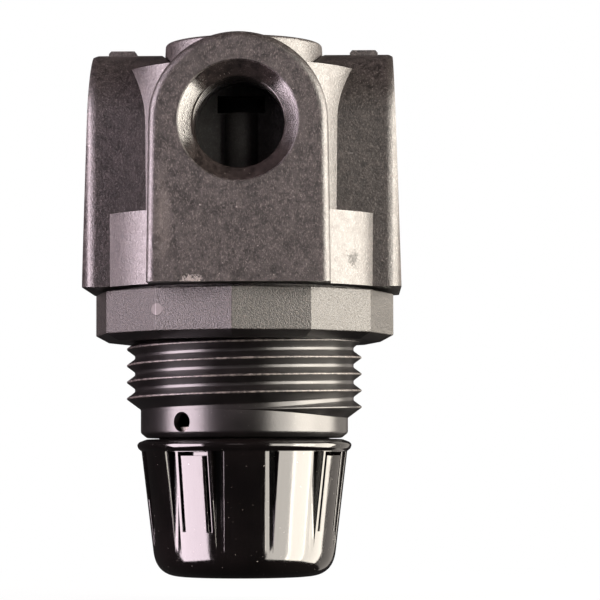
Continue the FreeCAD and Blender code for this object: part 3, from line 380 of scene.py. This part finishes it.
# %% [markdown]
# The knob is bare gloss moulding, almost black. What tells its age is the dust on it and the hairline
# scratches along its grip. Its colour hardly matters, since the eye sees the lamps in it: a little more
# or less roughness decides how sharp they are.

# %% Finish of the knob
def knob_finish():
    """Near-black gloss; a noise that is drawn out along the axis makes the hairlines."""
    f = Finish("knob_gloss")
    dust = f.noise(3600, 2, 0.4)
    hair = f.noise(1500, 2, 0.5, stretch=(2.4, 2.4, 0.12))
    cloud = f.noise(120, 3)
    base = f.mix(f.ramp(cloud, (0.3, 0.0), (0.7, 1.0)), (0.002, 0.0016, 0.0016), (0.005, 0.0038, 0.0038))
    base = f.mix(f.ramp(dust, (0.765, 0.0), (0.79, 0.8)), base, (0.50, 0.46, 0.43))
    rough = 0.07 + 0.07 * f.ramp(hair, (0.45, 0.0), (0.7, 1.0)) + 0.05 * cloud
    f.set(base_color=base, roughness=rough, normal=f.bump(hair, 0.004, 0.35), specular_ior_level=0.75)
    return f.material


# %% [markdown]
# Inner pieces are bright metal, white acetal or rubber. They are glimpsed only through the vent, the
# ports and at the open poses, but each still gets its own grain: turning marks, wire drawing, bloom.


# %% Finishes of the inner pieces
def turned_metal(name, dark, light, roughness):
    """Metal with fine rings round the axis, which are noise squeezed along Z."""
    f = Finish(name)
    rings = f.noise(240, 2, 0.5, stretch=(0.15, 0.15, 14))
    cloud = f.noise(400, 4)
    base = f.mix(f.ramp(cloud, (0.35, 0.0), (0.7, 1.0)), dark, light)
    f.set(base_color=base, metallic=1.0, roughness=roughness + 0.18 * rings,
          normal=f.bump(rings, 0.006, 0.5))
    return f.material


def moulded_white():
    """White plastic with soft clouds."""
    f = Finish("white_acetal_moulding")
    cloud = f.noise(500, 4)
    base = f.mix(cloud, (0.62, 0.56, 0.52), (0.86, 0.80, 0.76))
    f.set(base_color=base, roughness=0.42 + 0.1 * cloud, normal=f.bump(f.noise(6000, 2), 0.01, 0.3))
    return f.material


def black_rubber():
    """Rubber with a grey bloom in patches."""
    f = Finish("nitrile_rubber_bloom")
    cloud = f.noise(700, 5)
    base = f.mix(f.ramp(cloud, (0.35, 0.0), (0.8, 1.0)), (0.012, 0.012, 0.012), (0.05, 0.048, 0.046))
    f.set(base_color=base, roughness=0.62 + 0.2 * cloud, normal=f.bump(f.noise(4000, 3), 0.02, 0.4))
    return f.material


FINISHES = {
    "body_casting": casting_finish("body_casting_polymer"),
    "bottom_plug": casting_finish("bottom_plug_polymer"),
    "bonnet": bonnet_finish(),
    "knob": knob_finish(),
    "plated_steel": turned_metal("zinc_plated_steel", (0.42, 0.41, 0.38), (0.62, 0.60, 0.56), 0.24),
    "spring_steel": turned_metal("oiled_spring_steel", (0.16, 0.16, 0.17), (0.34, 0.34, 0.35), 0.28),
    "plug_steel": turned_metal("black_oxide_steel", (0.05, 0.05, 0.055), (0.13, 0.13, 0.135), 0.34),
    "yellow_brass": turned_metal("yellow_brass_turned", (0.62, 0.42, 0.17), (0.82, 0.61, 0.30), 0.20),
    "sheet_aluminium": turned_metal("sheet_aluminium_pressed", (0.6, 0.6, 0.61), (0.78, 0.78, 0.8), 0.3),
    "white_acetal": moulded_white(),
    "nitrile_rubber": black_rubber(),
}
print("finishes:", ", ".join(FINISHES))

# %% [markdown]
# The solids arrive in plain slots. Each one takes the finish whose name its slot has in the record, so
# a piece that gets no finer shape below still has its own material.

# %% Dress the frame's own nodes
SLOT_OF = {row["node"]: row["material_slot"] for row in frame["record"]["subparts"]}
for node_name, node_object in NODES.items():
    node_object.data.materials.clear()
    node_object.data.materials.append(FINISHES[SLOT_OF[node_name]])
print("dressed:", len(NODES), "nodes")

# %% [markdown]
# New surfaces are grids of points: rows run along a profile and columns run round the axis. An angle is
# counted from the front of the body towards its right-hand side. A profile drawn counter-clockwise in
# radius and height has its faces outwards. A Bevel modifier could round the edges, but a grid that is
# rounded as it is computed keeps its faces even and its count known.


# %% Surface helpers
def grid_faces(rows, columns, close_rows=False, close_columns=False):
    """Quads between neighbouring points of a grid, joined at its ends where asked."""
    index = np.arange(rows * columns).reshape(rows, columns)
    if close_rows:
        index = np.vstack([index, index[:1]])
    if close_columns:
        index = np.hstack([index, index[:, :1]])
    return np.stack([index[:-1, :-1], index[:-1, 1:], index[1:, 1:], index[1:, :-1]], axis=-1).reshape(-1, 4)


def make_mesh(name, points, faces):
    """A mesh from points in millimetres and an array of faces; the faces that have no area are left out."""
    points = points.reshape(-1, 3) * MM
    first, third = points[faces[:, 0]] - points[faces[:, 2]], points[faces[:, 1]] - points[faces[:, 3]]
    area = np.linalg.norm(np.cross(first, third), axis=1)
    faces = faces[area > 1e-14]
    mesh = bpy.data.meshes.new(name)
    mesh.vertices.add(len(points))
    mesh.vertices.foreach_set("co", points.ravel())
    mesh.loops.add(faces.size)
    mesh.loops.foreach_set("vertex_index", faces.ravel())
    mesh.polygons.add(len(faces))
    mesh.polygons.foreach_set("loop_start", np.arange(len(faces)) * faces.shape[1])
    mesh.update(calc_edges=True)
    mesh.validate()
    return mesh


def add_piece(name, mesh, finish, sharp=35):
    """An object with this mesh, smooth except across edges that turn more than sharp degrees."""
    piece = bpy.data.objects.new(name, mesh)
    bpy.context.collection.objects.link(piece)
    mesh.materials.append(finish)
    mesh.polygons.foreach_set("use_smooth", np.ones(len(mesh.polygons), bool))
    mesh.set_sharp_from_angle(angle=math.radians(sharp))
    print(name, len(mesh.polygons), "faces")
    return piece


def turn(profile, angles):
    """Points of profile rows (radius, height) swept to every angle from the front."""
    radius, height = profile[..., 0], profile[..., 1]
    around = np.broadcast_to(angles, radius.shape)
    return np.stack([radius * np.sin(around), -radius * np.cos(around), height], axis=-1)


def rounded_rows(columns, *corners, steps=5):
    """Rows of a profile for every column, from corners (radius, height, cut).

    Radius and height are a number or one value per column. Each corner becomes a curve that starts and
    ends its cut away from it: the parabola with weights (1-t)^2, 2t(1-t) and t^2 on start, corner and
    end. The first and the last corner stay points and need no cut.
    """
    points = [np.stack(np.broadcast_arrays(corner[0], corner[1], np.zeros(columns))[:2], axis=-1)
              for corner in corners]
    rows = [points[0]]
    weight = np.linspace(0, 1, steps)
    for before, point, after, corner in zip(points, points[1:], points[2:], corners[1:]):
        start, end = [point + corner[2] * (p - point) / np.linalg.norm(p - point, axis=-1, keepdims=True)
                      for p in (before, after)]
        rows += [(1 - t) ** 2 * start + 2 * t * (1 - t) * point + t ** 2 * end for t in weight]
    return np.stack(rows + [points[-1]])


def even(columns):
    """Angles at equal steps round a full turn."""
    return np.arange(columns) / columns * 2 * math.pi


def blend_min(first, second, width):
    """The smaller of two surfaces, with a fillet of about this width where they meet."""
    mix = np.clip(0.5 + 0.5 * (second - first) / width, 0, 1)
    return second * (1 - mix) + first * mix - width * mix * (1 - mix)


# %% [markdown]
# A screw thread is one long ramp. Its grid leans with the helix, so crests and roots follow grid lines
# and stay clean. Where the last column meets the first, rows join one turn further on.


# %% Thread helper
def thread_grid(pitch, low, high, phase, per_pitch=36, columns=360):
    """Heights and angles of a leaning grid between two levels, its faces, and the place in the pitch.

    Row i stands at low + pitch * (i / per_pitch - 1 + angle / full turn), cut off at both levels.
    The place in the pitch is 0 at a crest and 0.5 at a root; phase is a crest's height at angle 0.
    """
    rows = int((high - low) / pitch * per_pitch) + 2 * per_pitch + 2
    angle = np.broadcast_to(even(columns), (rows, columns))
    height = low + pitch * (np.arange(rows)[:, None] / per_pitch - 1 + angle / (2 * math.pi))
    height = np.clip(height, low, high)
    turns = (height - phase) / pitch - angle / (2 * math.pi)
    place = np.abs(turns - np.round(turns))
    index = np.arange(rows * columns).reshape(rows, columns)
    inner = grid_faces(rows, columns)
    last, first = index[:-1 - per_pitch, -1], index[per_pitch:-1, 0]
    seam = np.stack([last, first, first + columns, last + columns], axis=-1)
    return height, angle, np.vstack([inner, seam]), place


# %% [markdown]
# The bonnet's ring has twelve sides. A chamfer of even height runs round its lower edge, so the flat
# sides end in straight lines and the foot is a smaller polygon. A twelve-sided cylinder would do for
# the block, but here the polygon is a function of the angle, which rounds its corners too. Columns
# crowd at the corners, where the surface turns.

# %% Bonnet ring
RING_CORNER, RING_TOP, RING_BORE, RING_STEP = 19.2, 6.25, 13.5, 15.6
RING_PHASE = math.radians(-2.5)
SIDES = 12
CHAMFER_HEIGHT, FOOT_SHARE = 0.92, 0.911
CORNER_SPREAD = np.array([0, 0.15, 0.35, 0.6, 0.9, 1.3, 1.9, 3, 5, 7.5, 10, 12.5, 15, 17.5, 20, 22.5, 25, 27,
                          28.1, 28.7, 29.1, 29.4, 29.65, 29.85])


def polygon_radius(angle, corner, sides, phase, crispness=4000):
    """Distance from the axis to a regular polygon whose corners are rounded a little.

    It is the reciprocal of the power mean, with a large power, of the cosines to all side centres.
    """
    centres = phase + (np.arange(sides) + 0.5) * 2 * math.pi / sides
    cosines = np.clip(np.cos(angle[..., None] - centres), 0, None)
    near = cosines.max(axis=-1)
    total = ((cosines / near[..., None]) ** crispness).sum(axis=-1) ** (1 / crispness)
    return corner * math.cos(math.pi / sides) / (near * total)


ring_angles = (RING_PHASE + np.radians(CORNER_SPREAD + np.arange(SIDES)[:, None] * 360 / SIDES)).ravel()
side = polygon_radius(ring_angles, RING_CORNER, SIDES, RING_PHASE)
ring_rows = rounded_rows(len(ring_angles), (RING_STEP, RING_TOP), (RING_BORE, RING_TOP, 0.05),
                         (RING_BORE, 0, 0.05), (side * FOOT_SHARE, 0, 0.12),
                         (side, CHAMFER_HEIGHT, 0.14), (side, RING_TOP, 0.22), (RING_STEP, RING_TOP))
ring_points = turn(ring_rows, ring_angles)
ring_faces = grid_faces(*ring_points.shape[:2], close_columns=True)
bonnet_ring = add_piece("bonnet_ring", make_mesh("bonnet_ring", ring_points, ring_faces), FINISHES["bonnet"])

# %% [markdown]
# The panel thread is moulded, right-handed, and starts at the front, where its ridge grows out of the
# barrel in about a quarter of a turn. A ridge swept along a helix would need cutting off at both ends.
# Here each point asks how far it is from the turns above and below it and takes the largest of them and
# the root, with a fillet between, so the start needs no cut. By the vent the lowest faces are left out,
# so that its hole stays open.

# %% Panel thread
PANEL_PITCH = 25.4 / 12
MAJOR, ROOT, BARREL = 15.08, 14.05, 13.3
RUN_IN, GROWTH = math.radians(-12.6), 0.27
FIRST_CREST, THREAD_LOW, BARREL_TOP = -8.9, -9.7, -8.8
CREST_FLAT, FLANK_SLOPE, ROOT_FILLET = 0.16, 1.35, 0.16
SUNK, SUNK_FOOT = 0.2, 0.06
VENT_ANGLE, VENT_HEIGHT, VENT_RADIUS = math.radians(-34.0), -10.3, 1.25


def rise(turns):
    """How far the ridge has grown, 0 to 1, after so many turns: 3t^2 - 2t^3, level at both ends."""
    t = np.clip(turns / GROWTH, 0, 1)
    return t * t * (3 - 2 * t)


height, angle, faces, _ = thread_grid(PANEL_PITCH, THREAD_LOW, 0.0, 0.0)
since = np.mod(angle - RUN_IN, 2 * math.pi) / (2 * math.pi)
turns = (height - FIRST_CREST) / PANEL_PITCH - since


def ridge_at(number):
    """Radius that one turn of the ridge has at this height.

    Beside its flat crest it falls evenly, by FLANK_SLOPE. There is no turn before the first, and a turn
    that hasn't grown yet is sunk below the barrel.
    """
    number = np.maximum(number, 0)
    slide = np.clip(np.abs(turns - number) * PANEL_PITCH - CREST_FLAT / 2, 0, None)
    missing = 1 - rise(number + since)
    return MAJOR - slide * FLANK_SLOPE - missing * (MAJOR - BARREL + SUNK)


ridge = np.maximum(ridge_at(np.floor(turns)), ridge_at(np.floor(turns) + 1))
floor_grown = np.where(turns > 0, rise(np.floor(turns) + since), 0)
below_surface = SUNK_FOOT * np.clip((BARREL_TOP - height) / 0.05, 0, 1)
root = BARREL + (ROOT - BARREL) * floor_grown - below_surface
radius = -blend_min(-ridge, -root, ROOT_FILLET)
thread_points = turn(np.stack([radius, height], axis=-1), angle)
by_vent = (np.abs(angle - VENT_ANGLE - 2 * math.pi) < 0.16) & (height < BARREL_TOP + 0.01)
faces = faces[~by_vent.ravel()[faces].all(axis=1)]
thread_mesh = make_mesh("bonnet_thread", thread_points, faces)
panel_thread = add_piece("bonnet_thread", thread_mesh, FINISHES["bonnet"], 60)

# %% [markdown]
# Below the thread comes a plain barrel with a vent hole, and then the neck that the knob snaps on.
# Inside are the spring's bore, a pocket behind the vent and the floor that the screw passes through.
# All of it is one closed profile turned round the axis, up to the collar that sits inside the body. The
# vent is the only part that isn't round, so it is drilled afterwards.

# %% Barrel and neck
BARREL_COLUMNS = 256
BARREL_BOTTOM, NECK_FOOT, NECK, NECK_BORE = -12.25, -19.3, 10.9, 8.6
SLEEVE, COLLAR = 13.24, 15.88
GROOVE, SPRING_BORE, POCKET, SCREW_HOLE = 10.25, 10.8, 12.2, 4.58
FLOOR_TOP, FLOOR_UNDER = -12.4, -14.9
# Radius, height and cut of each corner: the neck from inside, the barrel, the sleeve behind the thread
# and the collar, then down the bore to the floor.
BARREL_CORNERS = (
    (NECK_BORE, FLOOR_UNDER), (NECK_BORE, NECK_FOOT, 0.1), (NECK, NECK_FOOT, 0.25), (NECK, -18.65, 0.05),
    (GROOVE, -18.65, 0.1), (GROOVE, -14.4, 0.1), (NECK, -14.4, 0.1), (NECK, BARREL_BOTTOM, 0.2),
    (12.5, BARREL_BOTTOM, 0.2), (BARREL, -11.6, 0.25), (BARREL, BARREL_TOP, 0.01), (SLEEVE, -8.76, 0.01),
    (SLEEVE, 6.2, 0.1), (COLLAR, 6.2, 0.1), (COLLAR, 9.6, 0.1), (POCKET, 9.6, 0.1), (POCKET, 8.1, 0.1),
    (SPRING_BORE, 8.1, 0.1), (SPRING_BORE, -8.6, 0.1), (POCKET, -8.6, 0.1), (POCKET, -11.85, 0.1),
    (SPRING_BORE, -11.85, 0.1), (SPRING_BORE, FLOOR_TOP, 0.1), (SCREW_HOLE, FLOOR_TOP, 0.1),
    (SCREW_HOLE, FLOOR_UNDER, 0.1), (NECK_BORE, FLOOR_UNDER),
)
barrel_points = turn(rounded_rows(BARREL_COLUMNS, *BARREL_CORNERS)[:-1], even(BARREL_COLUMNS))
barrel_faces = grid_faces(*barrel_points.shape[:2], close_rows=True, close_columns=True)
barrel_mesh = make_mesh("bonnet_barrel", barrel_points, barrel_faces)
print("barrel:", len(barrel_points), "rows")

# %% [markdown]
# The vent could be a black disc, but its wall and what lies behind it show. So a Boolean modifier cuts a
# cylinder out of the barrel's wall; its result becomes the barrel's mesh and both helpers go.


# %% Vent
def drill(mesh, angle, height, radius, near, far):
    """Cut a round hole in from the side: a cylinder between two distances from the axis."""
    bit_mesh = bpy.data.meshes.new("drill")
    tool = bmesh.new()
    place = Matrix.Rotation(angle, 4, "Z") @ Matrix.Translation((0, -(near + far) / 2 * MM, height * MM))
    bmesh.ops.create_cone(tool, cap_ends=True, segments=64, radius1=radius * MM, radius2=radius * MM,
                          depth=(far - near) * MM, matrix=place @ Matrix.Rotation(math.pi / 2, 4, "X"))
    tool.to_mesh(bit_mesh)
    tool.free()
    block, bit = bpy.data.objects.new("block", mesh), bpy.data.objects.new("drill", bit_mesh)
    for item in (block, bit):
        bpy.context.collection.objects.link(item)
    cut = block.modifiers.new("cut", "BOOLEAN")
    cut.operation = "DIFFERENCE"
    cut.solver = "EXACT"
    cut.object = bit
    bpy.context.view_layer.update()
    graph = bpy.context.evaluated_depsgraph_get()
    drilled = bpy.data.meshes.new_from_object(block.evaluated_get(graph))
    drilled.name = mesh.name
    for item in (block, bit):
        bpy.data.objects.remove(item)
    return drilled


barrel_mesh = drill(barrel_mesh, VENT_ANGLE, VENT_HEIGHT, VENT_RADIUS, 8.0, 14.6)
bonnet_barrel = add_piece("bonnet_barrel", barrel_mesh, FINISHES["bonnet"], 30)
for piece in (bonnet_ring, panel_thread, bonnet_barrel):
    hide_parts("bonnet")
    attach(piece, "regulator_body")

# %% [markdown]
# The white washer that the knob's screw bears on reaches out to the thin wall behind the vent, where
# its rim shows as a pale sickle. The solid's washer ends inside the bore, so this ring adds the rest.

# %% Washer's rim
WASHER_COLUMNS = 96
RIM_IN, RIM_OUT, RIM_FOOT, RIM_TOP = 10.3, 12.05, -11.83, -10.92
washer_rows = rounded_rows(WASHER_COLUMNS, (RIM_IN, RIM_FOOT), (RIM_OUT, RIM_FOOT, 0.15),
                           (RIM_OUT, RIM_TOP, 0.15), (RIM_IN, RIM_TOP, 0.02), (RIM_IN, RIM_FOOT))
washer_points = turn(washer_rows[:-1], even(WASHER_COLUMNS))
washer_faces = grid_faces(*washer_points.shape[:2], close_rows=True, close_columns=True)
washer_mesh = make_mesh("thrust_washer_rim", washer_points, washer_faces)
washer = add_piece("thrust_washer_rim", washer_mesh, FINISHES["white_acetal"])
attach(washer, "regulator_body")

# %% [markdown]
# The ports are tapped for a quarter inch pipe. A smooth countersink comes first, then ridges that deepen
# where the cone passes below their crests. The solid's hole is plain, at the thread's major diameter,
# so a sleeve inside it carries the form. Its grid is the panel thread's, laid on its side.


# %% Port threads
PORT_PITCH = 25.4 / 18
PORT_DEPTH, PORT_AXIS, PORT_FACE = 8.2, 26.4, 20.4
MOUTH, CONE_SLOPE, PORT_CREST, PORT_WALL = 7.53, 0.99, 5.62, 6.84
HALF_FLAT, GROOVE_DEPTH, GROOVES_FROM, GROOVES_GROW = 0.10, 1.2, 1.5, 1.4
PORT_FINISH = casting_finish("port_thread_polymer", 0.18, 0.25)


def port_thread(name, side):
    """A tapped sleeve in a port; side is -1 at the front and 1 at the back.

    Its radius is the larger of a cone, which narrows evenly with depth, and a 60 degree thread, whose
    grooves grow with depth. A fillet joins the two, and neither goes beyond the solid's hole.
    """
    depth, angle, faces, place = thread_grid(PORT_PITCH, 0.02, PORT_DEPTH, 1.9, 24, 300)
    cone = MOUTH - CONE_SLOPE * depth
    flank = np.clip((place * PORT_PITCH - HALF_FLAT) * math.sqrt(3), 0, GROOVE_DEPTH)
    groove = flank * np.clip((depth - GROOVES_FROM) / GROOVES_GROW, 0.04, 1)
    radius = np.minimum(-blend_min(-PORT_CREST - groove, -cone, 0.08), MOUTH)
    radius = np.where(depth > 0.8, np.minimum(radius, PORT_WALL), radius)
    x = radius * np.sin(angle) * side
    z = PORT_AXIS + radius * np.cos(angle)
    y = side * (PORT_FACE - depth)
    points = np.stack([x, y, z], axis=-1)
    piece = add_piece(name, make_mesh(name, points, faces[:, ::-1]), PORT_FINISH, 60)
    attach(piece, "regulator_body")
    return piece


port_thread("inlet_thread", -1)
port_thread("outlet_thread", 1)

# %% [markdown]
# The knob is a cone with twelve flat-floored flutes that run out where the cone narrows to their floors.
# Four of the lands between them are snap fingers, each freed by a thin slot on three sides. Cutting all
# that with Booleans would leave slivers. Instead the radius is a function of height and of the distance
# from a land's middle, and the grid's lines bend with the flutes' edges and crowd at the slots', so
# those edges are clean and slightly rounded.

# %% Knob: its grid
KNOB_RIM, KNOB_END, BEAD_FOOT = -12.4, -29.9, -13.95
FLUTE_FLOOR, CONE_TOP, CONE_END = 11.75, 13.2, 11.3
FLOOR_HALF, FLANK_RUN, KNOB_PHASE = 0.5, 0.3, math.radians(2.2)
SLOT_IN, SLOT_OUT, SLOT_TOP, FINGER_TIP, SLOT_FOOT = 1.74, 2.08, -14.08, -14.5, -24.0
SLOT_MIDDLE, SLOT_WALL, SLOT_FLOOR = (SLOT_IN + SLOT_OUT) / 2, 0.024, 11.4
LIP_DEPTH, LIP_WIDTH = 0.05, 0.09
GRID_LOW, LANDS = -26.4, 12
# Grid lines stand this far before and after an edge, so that it stays sharp.
CLOSE = np.array([-0.09, -0.04, -0.012, 0.012, 0.04, 0.09])


def cone_radius(height):
    """Radius of the plain cone, on a straight line between its end and its top."""
    return CONE_END + (CONE_TOP - CONE_END) * (height - KNOB_END) / (BEAD_FOOT - KNOB_END)


def rows_near(*levels):
    """Rows at the CLOSE distances round each level."""
    return np.concatenate([CLOSE + v for v in levels])


heights = np.concatenate([np.linspace(GRID_LOW, BEAD_FOOT - 0.12, 28),
                          rows_near(SLOT_TOP, FINGER_TIP, SLOT_FOOT),
                          BEAD_FOOT - np.array([0.08, 0.05, 0.03, 0.015, 0.004])])
heights = np.unique(np.round(heights, 4))
wall = cone_radius(heights)[:, None]
half_sector = math.pi / LANDS
flank = np.clip((wall - FLUTE_FLOOR) * FLANK_RUN, 0.02, None)
edge = half_sector * wall - FLOOR_HALF - flank
slot_lines = np.concatenate([[0.0, 0.45, 0.9, 1.35], SLOT_IN + CLOSE[:4], [SLOT_MIDDLE],
                             SLOT_OUT + CLOSE[2:]]) + 0 * wall
before_edge = np.array([-0.14, -0.09, -0.05, -0.02, 0.0])
land_from = SLOT_OUT + CLOSE[-1]
land_lines = land_from + (edge + before_edge[0] - land_from) * np.array([0.25, 0.5, 0.75])
flute_lines = edge + before_edge
flank_lines = edge + flank * np.array([0.2, 0.5, 0.8, 1.0])
floor_lines = half_sector * wall - FLOOR_HALF * np.array([0.92, 0.82, 0.6, 0.3, 0.0])
half_lines = np.hstack([slot_lines, land_lines, flute_lines, flank_lines, floor_lines])
sector_lines = np.hstack([-half_lines[:, :0:-1], half_lines[:, :-1]])
lands = np.arange(LANDS)
land_angle = lands * 2 * math.pi / LANDS + KNOB_PHASE
knob_angle = (land_angle[None, :, None] + (sector_lines / wall)[:, None, :]).reshape(len(heights), -1)
print("knob grid:", knob_angle.shape[0], "rows,", knob_angle.shape[1], "columns")

# %% [markdown]
# The surface is the lower of the cone and the flutes, which end at the bead's foot. Every third land is
# a finger: where the distance to its slot's outline is negative the wall drops inwards, and outside it
# a small lip rounds the edge.

# %% Knob: its side
offset = np.tile(sector_lines, (1, LANDS))
is_finger = np.repeat(lands % 3 == 2, sector_lines.shape[1])[None, :]
from_flute = np.sqrt((half_sector * wall - np.abs(offset)) ** 2 + 0.02 ** 2)
flute = FLUTE_FLOOR + 0.12 * from_flute + np.clip(from_flute - FLOOR_HALF, 0, None) / FLANK_RUN
fade = np.clip((BEAD_FOOT - heights[:, None]) / 0.05, 0, 1)
body = blend_min(wall + 0 * offset, flute + (1 - fade) * 2, 0.12)
level = heights[:, None]
beside = np.maximum(np.abs(np.abs(offset) - SLOT_MIDDLE) - (SLOT_OUT - SLOT_IN) / 2,
                    np.maximum(SLOT_FOOT - level, level - SLOT_TOP))
above = np.maximum(np.abs(offset) - SLOT_OUT, np.maximum(FINGER_TIP - level, level - SLOT_TOP))
gap = np.minimum(beside, above)
cut = np.clip(0.5 - gap / SLOT_WALL, 0, 1) * (wall - SLOT_FLOOR)
lip = LIP_DEPTH * np.clip(1 - gap / LIP_WIDTH, 0, 1) ** 2
body = np.where(is_finger, body - np.maximum(cut, lip), body)
knob_middle = np.stack([body, level + 0 * body], axis=-1)
print("slots cut up to", round(float(cut.max()), 2), "mm deep")

# %% [markdown]
# Below the grid the side rounds over into the flat end. Above it come the bead and the rim, and inside
# them the skirt's wall, the cup's floor and a hub with the screw's socket.

# %% Knob: its end and its inside
columns = body.shape[1]
end_profile = rounded_rows(columns, (0.001, KNOB_END), (5.0, KNOB_END, 0.1),
                           (cone_radius(KNOB_END), KNOB_END, 3.2),
                           (wall[0], heights[0] + 0 * wall[0]), steps=16)[:-1]
rim_profile = rounded_rows(columns, (CONE_TOP, BEAD_FOOT + 0.004), (13.62, -13.6, 0.15), (13.8, -13.1, 0.22),
                           (13.5, -12.75, 0.18), (12.55, KNOB_RIM, 0.2), (11.25, KNOB_RIM, 0.15),
                           (11.25, -20.95, 0.3), (9.4, -27.5, 0.4), (5.8, -27.5, 0.2), (5.8, -16.55, 0.1),
                           (3.6, -16.55, 0.1), (3.6, -25.9, 0.1), (0.001, -25.9))
knob_rows = np.concatenate([end_profile, knob_middle, rim_profile])
knob_turns = np.concatenate([np.repeat(knob_angle[:1], len(end_profile), 0), knob_angle,
                             np.repeat(knob_angle[-1:], len(rim_profile), 0)])
knob_points = turn(knob_rows, knob_turns)
knob_faces = grid_faces(*knob_points.shape[:2], close_columns=True)
knob = add_piece("knob_shell", make_mesh("knob_shell", knob_points, knob_faces), FINISHES["knob"], 50)
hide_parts("knob")
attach(knob, "knob")

# %% [markdown]
# The springs are drawn with round wire here. Each is a tube bent along a helix. A curve with a bevel
# would give the same tube with flat ends, and the formula here rounds them too. Each spring moves whole
# with the body that its lower end rides.

# %% Springs
STEPS_PER_TURN, WIRE_SIDES, DOME_TURN = 96, 20, 0.06


def coil(name, node, body_name, mean_radius, wire, low, high, turns):
    """Tube of a helix: the tube's circle turns about the wire while the wire climbs.

    At both ends the tube thins along a quarter circle. The whole coil is attached to the body of its lower
    end and moves with it.
    """
    along = np.linspace(0, turns * 2 * math.pi, int(turns * STEPS_PER_TURN))
    spin = even(WIRE_SIDES)[:, None]
    to_end = np.clip(1 - np.minimum(along, along[-1] - along) / DOME_TURN, 0, 1)
    taper = np.sqrt(np.clip(1 - to_end ** 2, 1e-6, 1))
    centre = low + wire + (high - low - 2 * wire) * along / along[-1]
    radius = mean_radius + wire * taper * np.cos(spin)
    height = centre + wire * taper * np.sin(spin)
    points = np.stack([radius * np.sin(along), -radius * np.cos(along), height], axis=-1)
    faces = grid_faces(*points.shape[:2], close_rows=True)[:, ::-1]
    piece = add_piece(name, make_mesh(name, points, faces), FINISHES["spring_steel"])
    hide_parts(node)
    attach(piece, body_name)
    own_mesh(piece)


coil("main_spring_wire", "regulating_spring", "nut", 9.0, 0.8, -6.6, 8.85, 5)
coil("valve_spring_wire", "valve_spring", "valve", 3.4, 0.3, 24.45, 31.0, 5)

# %% [markdown]
# The stage is white paper: a floor a little below the knob, so that the knob can be pulled down, and
# a world that the eye sees as white while the object sees a dim room. The white is for the eye alone: as
# a light it would fill every dark face. Mirror rays pass through the floor, so the glossy knob shows the
# lamps down to their feet, which are lower, and the floor still takes the object's shadow.

# %% Stage
FLOOR_DROP = 3.2
FLOOR_REACH = 1200.0
NEAR_WHITE = 0.955


def floor_finish():
    """Paper that glows white for the eye, a little less near the object so that its shadow shows."""
    f = Finish("paper_floor")
    eye = f.node("ShaderNodeLightPath", output="Is Camera Ray")
    f.set(base_color=f.mix(eye, (0.03, 0.03, 0.03), (0.9, 0.9, 0.9)), roughness=0.9)
    glow = f.node("ShaderNodeEmission", inputs={"Color": (1, 1, 1, 1), "Strength": 1.0})
    away = f.ramp(f.radius() * 10, (0.5, NEAR_WHITE), (1.0, 1.0))
    blend = f.node("ShaderNodeMixShader", inputs=[eye * away, Socket(f, f.shader.outputs[0]), glow])
    mirrored = f.node("ShaderNodeLightPath", output="Is Glossy Ray")
    clear = f.node("ShaderNodeBsdfTransparent")
    blend = f.node("ShaderNodeMixShader", inputs=[mirrored, blend, clear])
    out = next(n for n in f.tree.nodes if n.type == "OUTPUT_MATERIAL")
    f.tree.links.new(blend.link, out.inputs["Surface"])
    return f.material


floor_level = cad_box[0][2] / MM - FLOOR_DROP
floor_corners = np.array([[[x, y, floor_level] for x in (-FLOOR_REACH, FLOOR_REACH)]
                          for y in (-FLOOR_REACH, FLOOR_REACH)])
floor = add_piece("paper_floor", make_mesh("paper_floor", floor_corners, grid_faces(2, 2)), floor_finish())

world = bpy.data.worlds.new("paper_room")
bpy.context.scene.world = world
world.use_nodes = True
world_tree = world.node_tree
background = next(n for n in world_tree.nodes if n.type == "BACKGROUND")
path = world_tree.nodes.new("ShaderNodeLightPath")
room = world_tree.nodes.new("ShaderNodeMixRGB")
room.inputs[1].default_value = (0.03, 0.028, 0.028, 1)
room.inputs[2].default_value = (1, 1, 1, 1)
world_tree.links.new(path.outputs["Is Camera Ray"], room.inputs[0])
world_tree.links.new(room.outputs[0], background.inputs["Color"])
print("floor at", round(floor_level, 2), "mm")

# %% [markdown]
# Last, the view transform is Standard, because it leaves the colours as they are.

# %% The end
bpy.context.scene.view_settings.view_transform = "Standard"
